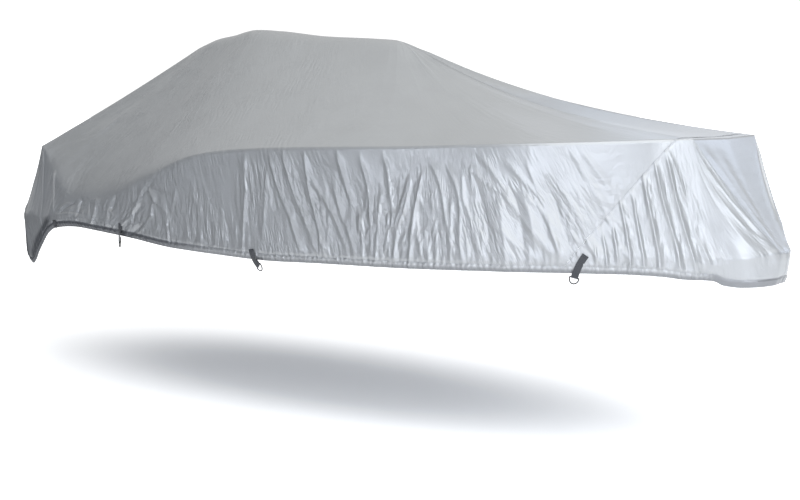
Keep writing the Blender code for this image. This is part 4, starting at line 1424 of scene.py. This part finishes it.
# %% The small parts' materials
RIBS = (("Y", 0.0016), ("X", 0.0011))   # way and spacing of the webbing's ribs and fine lines
RIB_DEPTH, TWIST_DEPTH = 0.0004, 0.0002 # depth of a rib, and of the thread's twist
TWISTS, PLATING_CLOUDS = 900.0, 160.0   # both per metre
PLATING_ROUGHNESS = (0.20, 0.42)


def ribbed_webbing(name, code, rib_highlight):
    """Woven tape: ribs across it, finer lines along it, and a painted highlight that makes the yarn
    paler on the ribs.
    """
    made, tree, shader = blank_material(name)
    cut = add_node(tree, "ShaderNodeUVMap", uv_map="cut").outputs["UV"]
    ribs = [add_node(tree, "ShaderNodeTexWave",
                     {"Vector": cut, "Scale": WAVE / pitch, "Distortion": 0.4},
                     bands_direction=direction).outputs["Fac"] for direction, pitch in RIBS]
    height = add_node(tree, "ShaderNodeMath", {0: ribs[0], 1: ribs[1]},
                      operation="ADD").outputs["Value"]
    # painted highlight: the higher the rib, the nearer its colour to the paler one
    yarn = add_node(tree, "ShaderNodeMapRange", {"Value": height, "From Max": 2.0})
    rib_highlight_tone = add_node(tree, "ShaderNodeMix", {"Factor": yarn.outputs["Result"], 6: colour(code),
                                            7: colour(rib_highlight)}, data_type="RGBA")
    bump = add_node(tree, "ShaderNodeBump",
                    {"Height": height, "Strength": 0.6, "Distance": RIB_DEPTH})
    tree.links.new(rib_highlight_tone.outputs[2], shader.inputs["Base Color"])
    tree.links.new(bump.outputs["Normal"], shader.inputs["Normal"])
    shader.inputs["Roughness"].default_value = 0.62
    shader.inputs["Sheen Weight"].default_value = 0.12
    return made


def plain_thread(name, code):
    """Bonded polyester thread: smooth, with the sheen of a filament yarn."""
    made, tree, shader = blank_material(name)
    where = add_node(tree, "ShaderNodeNewGeometry").outputs["Position"]
    twist = add_node(tree, "ShaderNodeTexNoise", {"Vector": where, "Scale": TWISTS})
    bump = add_node(tree, "ShaderNodeBump", {"Height": twist.outputs["Fac"], "Strength": 0.4,
                                             "Distance": TWIST_DEPTH})
    tree.links.new(bump.outputs["Normal"], shader.inputs["Normal"])
    shader.inputs["Base Color"].default_value = colour(code)
    shader.inputs["Roughness"].default_value = 0.5
    return made


def plated_wire(name, code):
    """Dark plated steel wire, its roughness a little uneven from handling."""
    made, tree, shader = blank_material(name)
    where = add_node(tree, "ShaderNodeNewGeometry").outputs["Position"]
    cloud = add_node(tree, "ShaderNodeTexNoise",
                     {"Vector": where, "Scale": PLATING_CLOUDS, "Detail": 3.0})
    worn = add_node(tree, "ShaderNodeMapRange",
                    {"Value": cloud.outputs["Fac"], "To Min": PLATING_ROUGHNESS[0],
                     "To Max": PLATING_ROUGHNESS[1]})
    tree.links.new(worn.outputs["Result"], shader.inputs["Roughness"])
    shader.inputs["Base Color"].default_value = colour(code)
    shader.inputs["Metallic"].default_value = 1.0
    return made


# 2B2E34 is the painted highlight on the crests of the ribs
webbing = ribbed_webbing("slate_polypropylene_webbing", "1E2024", "2B2E34")
pale_thread = plain_thread("grey_polyester_thread", "6C6F74")
dark_thread = plain_thread("slate_polyester_thread", "3A3D45")
wire = plated_wire("dark_plated_steel", "16171A")
for piece, _ in tab_pieces:
    piece.data.materials.append(webbing)
for piece, _ in ring_pieces:
    piece.data.materials.append(wire)
print("materials:", [m.name for m in (cloth, webbing, pale_thread, dark_thread, wire)])

# %% [markdown]
# ## Rows of stitches
# The casing's row follows the skirt's own row of points, so it rises and falls with every
# pucker. The seam's two rows start from the cut edge, are moved 4 mm to either side, and are
# laid on the cloth. The casing and the seam take thread of the cloth's grey, the tabs dark.

# %% Sew the hem, the seam and the tabs
SEAM_ROW = 0.004            # distance of the seam's two rows of stitches from the seam
SEAM_STEP = 0.004           # spacing of the points that they are laid through
SEAM_ENDS = 12              # points of the cut edge that each end of a row leaves out
TAB_ROWS = (0.006, 0.010)   # how far below a tab's top end its rows of stitches run
TAB_ROW_HALF = 0.43         # half length of such a row, in widths of the webbing
TAB_SUNK = 0.6              # how far its thread stands off the webbing, in its own radii
TAB_THREAD = 0.0004         # radius of the tabs' finer thread


def casing_lines(rows, ahead):
    """The casing's stitch lines on one side of the nose seam, a little proud of the cloth."""
    lines = []
    for points, out in rows:
        kept = (seam_distance(points) > 0) == ahead
        lines.append((points[kept] + out[kept] * THREAD, out[kept]))
    return lines


def seam_rows():
    """Two lines of points along the nose seam, behind it and ahead of it, on the cloth."""
    (x1, z1), (x0, z0) = SEAM_TOP, SEAM_FOOT
    ahead = unit(np.array((z1 - z0, 0.0, x0 - x1)))
    middle = even_points(seam_line[SEAM_ENDS:-SEAM_ENDS], SEAM_STEP)
    return [laid_on(mesh, middle + ahead * (SEAM_ROW * way), THREAD)
            for mesh, way in ((body_mesh, -1.0), (nose_mesh, 1.0))]


def tab_lines():
    """Short lines of points across the top end of every tab."""
    lines = []
    for route in tab_routes.values():
        for distance in TAB_ROWS:
            point, across, outward = route[round(distance / TAB_STEP)]
            middle = point + outward * (WEB_THICK / 2 + THREAD * TAB_SUNK)
            half = WEB_WIDTH * TAB_ROW_HALF
            row = [np.array(middle + across * (way * half)) for way in (-1.0, 0.0, 1.0)]
            lines.append((np.array(row), np.array([outward] * len(row))))
    return lines


threads = [
    sew("body_hem_stitches", casing_lines(body_casing, False), pale_thread),
    sew("nose_hem_stitches", casing_lines(nose_casing, True), pale_thread),
    sew("nose_seam_stitches", seam_rows(), pale_thread),
    sew("tab_stitches", tab_lines(), dark_thread, TAB_THREAD),
]

# %% [markdown]
# ## Ride and replace
# Each piece stands for its CAD node and rides on the one body.

# %% Hand the pieces to the frame
pieces = [(main_cloth, ["cover_body"], "coated_cloth"), (nose_cloth, ["nose_panel"], "coated_cloth")]
pieces += [(piece, [node], "webbing") for piece, node in tab_pieces]
pieces += [(piece, [node], "ring_steel") for piece, node in ring_pieces]
pieces += [(piece, [], "coated_cloth") for piece in threads[:3]] + [(threads[3], [], "webbing")]
for piece, nodes, slot in pieces:
    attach(piece, "root")
    if nodes:
        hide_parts(*nodes)
print(len(pieces), "pieces")

# %% [markdown]
# ## Paper floor
# A sheet of white paper lies on a grey floor and ends well in front of the cover, so that the
# cloth doesn't mirror it everywhere. The paper glows with painted light, which keeps it white,
# and the glow is dimmed under the cover, which paints a soft shadow there.

# %% Lay the floor
FLOOR = -2.25                           # its height, well below the lowest part of the hem
PAINTED_FLOOR_GLOW = (0.40, 1.0)                # painted glow of the paper at the cover, and far behind it
PAINTED_GLOW_FROM = (2.0, 14.0)                 # metres behind the origin between which that changes
PAPER_EDGES = (
    # the way into the white paper, and how far along it the paper begins and is fully white
    ((0.0, 1.0, 0.0), -5.6, -3.1),
    ((0.59, 0.81, 0.0), -3.6, -1.8),
)
SHADE_PLACE = (0.5, 0.0, 0.0)           # middle of the painted shadow on the floor, under the cover
SHADE_SIZE = (1 / 2.4, 1 / 0.9, 0.0)    # one over the reach of the painted shadow, along and across
SHADE_EDGES = (0.4, 1.4)                # reaches between which the painted glow comes back
SHADE_LEAST = 0.1                       # share of the painted glow that is left in the middle of the painted shadow
BACKDROP_WAY = (-0.60, 0.80, 0.0)       # the way to the middle of the backdrop
bpy.ops.mesh.primitive_circle_add(vertices=96, radius=90.0, fill_type="NGON",
                                  location=(1.0, 0.0, FLOOR))
floor = bpy.context.object
floor.name = "studio_floor"
paper, tree, shader = blank_material("pale_studio_floor")
shader.inputs["Roughness"].default_value = 0.9
spot = add_node(tree, "ShaderNodeNewGeometry").outputs["Position"]
lit = 1.0
for way, start, stop in PAPER_EDGES:
    along = add_node(tree, "ShaderNodeVectorMath", {0: spot, 1: way},
                     operation="DOT_PRODUCT").outputs["Value"]
    part = add_node(tree, "ShaderNodeMapRange",
                    {"Value": along, "From Min": start, "From Max": stop},
                    interpolation_type="SMOOTHSTEP").outputs["Result"]
    lit = add_node(tree, "ShaderNodeMath", {0: part, 1: lit}, operation="MULTIPLY").outputs["Value"]
ground = add_node(tree, "ShaderNodeMix", {"Factor": lit, 6: colour("6E7074"), 7: colour("F4F5F7")},
                  data_type="RGBA")
away = add_node(tree, "ShaderNodeVectorMath", {0: spot, 1: BACKDROP_WAY},
                operation="DOT_PRODUCT").outputs["Value"]
painted_glow = add_node(tree, "ShaderNodeMapRange",
                {"Value": away, "From Min": PAINTED_GLOW_FROM[0], "From Max": PAINTED_GLOW_FROM[1],
                 "To Min": PAINTED_FLOOR_GLOW[0], "To Max": PAINTED_FLOOR_GLOW[1]}).outputs["Result"]
shade = add_node(tree, "ShaderNodeVectorMath", {0: spot, 1: SHADE_PLACE},
                 operation="SUBTRACT").outputs["Vector"]
shade = add_node(tree, "ShaderNodeVectorMath", {0: shade, 1: SHADE_SIZE},
                 operation="MULTIPLY").outputs["Vector"]
shade = add_node(tree, "ShaderNodeVectorMath", {0: shade}, operation="LENGTH").outputs["Value"]
shade = add_node(tree, "ShaderNodeMapRange",
                 {"Value": shade, "From Min": SHADE_EDGES[0], "From Max": SHADE_EDGES[1],
                  "To Min": SHADE_LEAST}, interpolation_type="SMOOTHSTEP").outputs["Result"]
for part in (lit, shade):
    painted_glow = add_node(tree, "ShaderNodeMath", {0: painted_glow, 1: part},
                    operation="MULTIPLY").outputs["Value"]
tree.links.new(ground.outputs[2], shader.inputs["Base Color"])
# painted light: emission keeps the paper white, and is dimmed under the cover into a painted shadow
tree.links.new(painted_glow, shader.inputs["Emission Strength"])
shader.inputs["Emission Color"].default_value = colour("FFFFFF")
floor.data.materials.append(paper)
print("floor at z =", FLOOR)

# %% [markdown]
# ## The room
# Behind the cover stands a low white wall, and the rest of the room is dim, so that the silver
# cloth has something dark to mirror and its folds show. Wall, room and ceiling are only
# directions in the world's light, with no edges. The ceiling is bright on the far side, darkest
# over the middle and fairly bright again in front, which shades the top from bow to stern.

# %% Light from all round
WHITE_BACKDROP = (1.1, 1.1, 1.1, 1.0)   # linear light, as bright as the lit floor
DIM_ROOM = (0.16, 0.17, 0.19, 1.0)
NEAR_CEILING, FAR_CEILING = (0.22, 0.22, 0.21, 1.0), (1.12, 1.12, 1.10, 1.0)
FRONT_CEILING = (0.85, 0.85, 0.85, 1.0)
world = bpy.data.worlds.new("white_backdrop")
world.use_nodes = True
tree = world.node_tree
toward = add_node(tree, "ShaderNodeTexCoord").outputs["Generated"]
facing = add_node(tree, "ShaderNodeVectorMath", {0: toward, 1: BACKDROP_WAY},
                  operation="DOT_PRODUCT").outputs["Value"]
split = add_node(tree, "ShaderNodeSeparateXYZ", {"Vector": toward})
ROOM_FADES = (
    # name, what it follows, and where it begins and is full
    ("behind", facing, 0.42, 0.92),
    ("above", split.outputs["Z"], 0.15, 0.80),
    ("far", split.outputs["Y"], -0.28, 0.16),
    ("front", split.outputs["Y"], -0.22, -0.42),
    ("low", split.outputs["Z"], 0.70, 0.10),
)
fades = {name: add_node(tree, "ShaderNodeMapRange",
                        {"Value": follows, "From Min": start, "From Max": stop},
                        interpolation_type="SMOOTHSTEP").outputs["Result"]
         for name, follows, start, stop in ROOM_FADES}
fades["wall"] = add_node(tree, "ShaderNodeMath", {0: fades["behind"], 1: fades["low"]},
                         operation="MULTIPLY").outputs["Value"]
overhead = NEAR_CEILING
for fade, light in (("far", FAR_CEILING), ("front", FRONT_CEILING)):
    overhead = add_node(tree, "ShaderNodeMix", {"Factor": fades[fade], 6: overhead, 7: light},
                        data_type="RGBA").outputs[2]
room = DIM_ROOM
for fade, light in (("above", overhead), ("wall", WHITE_BACKDROP)):
    room = add_node(tree, "ShaderNodeMix", {"Factor": fades[fade], 6: room, 7: light},
                    data_type="RGBA").outputs[2]
tree.links.new(room, tree.nodes["Background"].inputs["Color"])
bpy.context.scene.world = world
print("the room's light fades:", ", ".join(fades))

# %% [markdown]
# ## Soft boxes
# Satin cloth shows its folds by what it mirrors, so large soft boxes stand all along the side.
# They are strong at the bow and weak at the stern, which is why the skirt darkens towards it.
# The boxes in front draw the bright edges of the skirt's folds, those behind brighten the
# front face and the deck, and the sky box lights the top.

# %% Place the lamps
def area_lamp(name, place, aim, size, power, code):
    """A large square lamp at a place, turned to face its aim."""
    lamp = bpy.data.lights.new(name, "AREA")
    lamp.size = size
    lamp.energy = power
    lamp.color = colour(code)[:3]
    thing = bpy.data.objects.new(name, lamp)
    thing.location = place
    thing.rotation_euler = (Vector(aim) - Vector(place)).to_track_quat("-Z", "Y").to_euler()
    thing.visible_camera = False
    bpy.context.scene.collection.objects.link(thing)


LAMPS = (
    # name, place, aim, side, power, colour
    ("side_box", (4.2, -7.0, -0.8), (2.4, -1.0, -1.0), 2.1, 106.0, "F0F5FF"),
    ("camera_box", (7.6, -6.6, -0.8), (2.8, -0.8, -1.0), 2.4, 114.0, "F0F5FF"),
    ("bow_box", (9.0, -2.4, -0.6), (3.2, -0.4, -1.0), 2.4, 110.0, "F0F5FF"),
    ("middle_box", (-0.5, -8.0, -0.7), (0.8, -1.0, -1.0), 1.2, 58.0, "F0F5FF"),
    ("aft_box", (-4.8, -7.0, -0.9), (-1.0, -1.0, -1.0), 1.5, 11.0, "F0F5FF"),
    ("stern_box", (-9.0, -1.4, -0.6), (-1.2, -0.6, -0.8), 2.2, 3.0, "F0F5FF"),
    ("far_box", (6.6, 6.0, 0.8), (3.2, 0.0, -0.8), 2.6, 72.0, "E2ECFF"),
    ("ridge_box", (-0.8, 4.8, 2.5), (1.2, 0.0, -0.2), 0.8, 1.8, "F0F5FF"),
    ("back_box", (0.0, 8.0, 3.0), (3.0, 0.0, -0.4), 3.0, 24.0, "D2E4FF"),
    ("sky_box", (5.5, -2.6, 3.6), (2.0, -0.2, -0.3), 8.5, 620.0, "FCFEFF"),
)
for lamp_row in LAMPS:
    area_lamp(*lamp_row)
print(len(LAMPS), "lamps")

# %% [markdown]
# ## Camera
# The camera stands off the starboard bow, about three quarters of the way up the cover, and
# looks slightly down. A lens of nearly 60 mm from 8 m away keeps the long cover in proportion.

# %% Set up the camera
CAMERA_PLACE = (5.931, -6.317, -0.3965)
LENS = 58.5                 # mm
LOOK_DOWN, LOOK_AFT = 6.96, 37.0        # degrees below level, and from straight to port
camera_data = bpy.data.cameras.new("camera")
camera_data.lens = LENS
camera = bpy.data.objects.new("camera", camera_data)
camera.location = CAMERA_PLACE
camera.rotation_euler = (math.radians(90 - LOOK_DOWN), 0.0, math.radians(LOOK_AFT))
bpy.context.scene.collection.objects.link(camera)
bpy.context.scene.camera = camera
bpy.context.scene.view_settings.view_transform = "Standard"
print("camera at", CAMERA_PLACE)
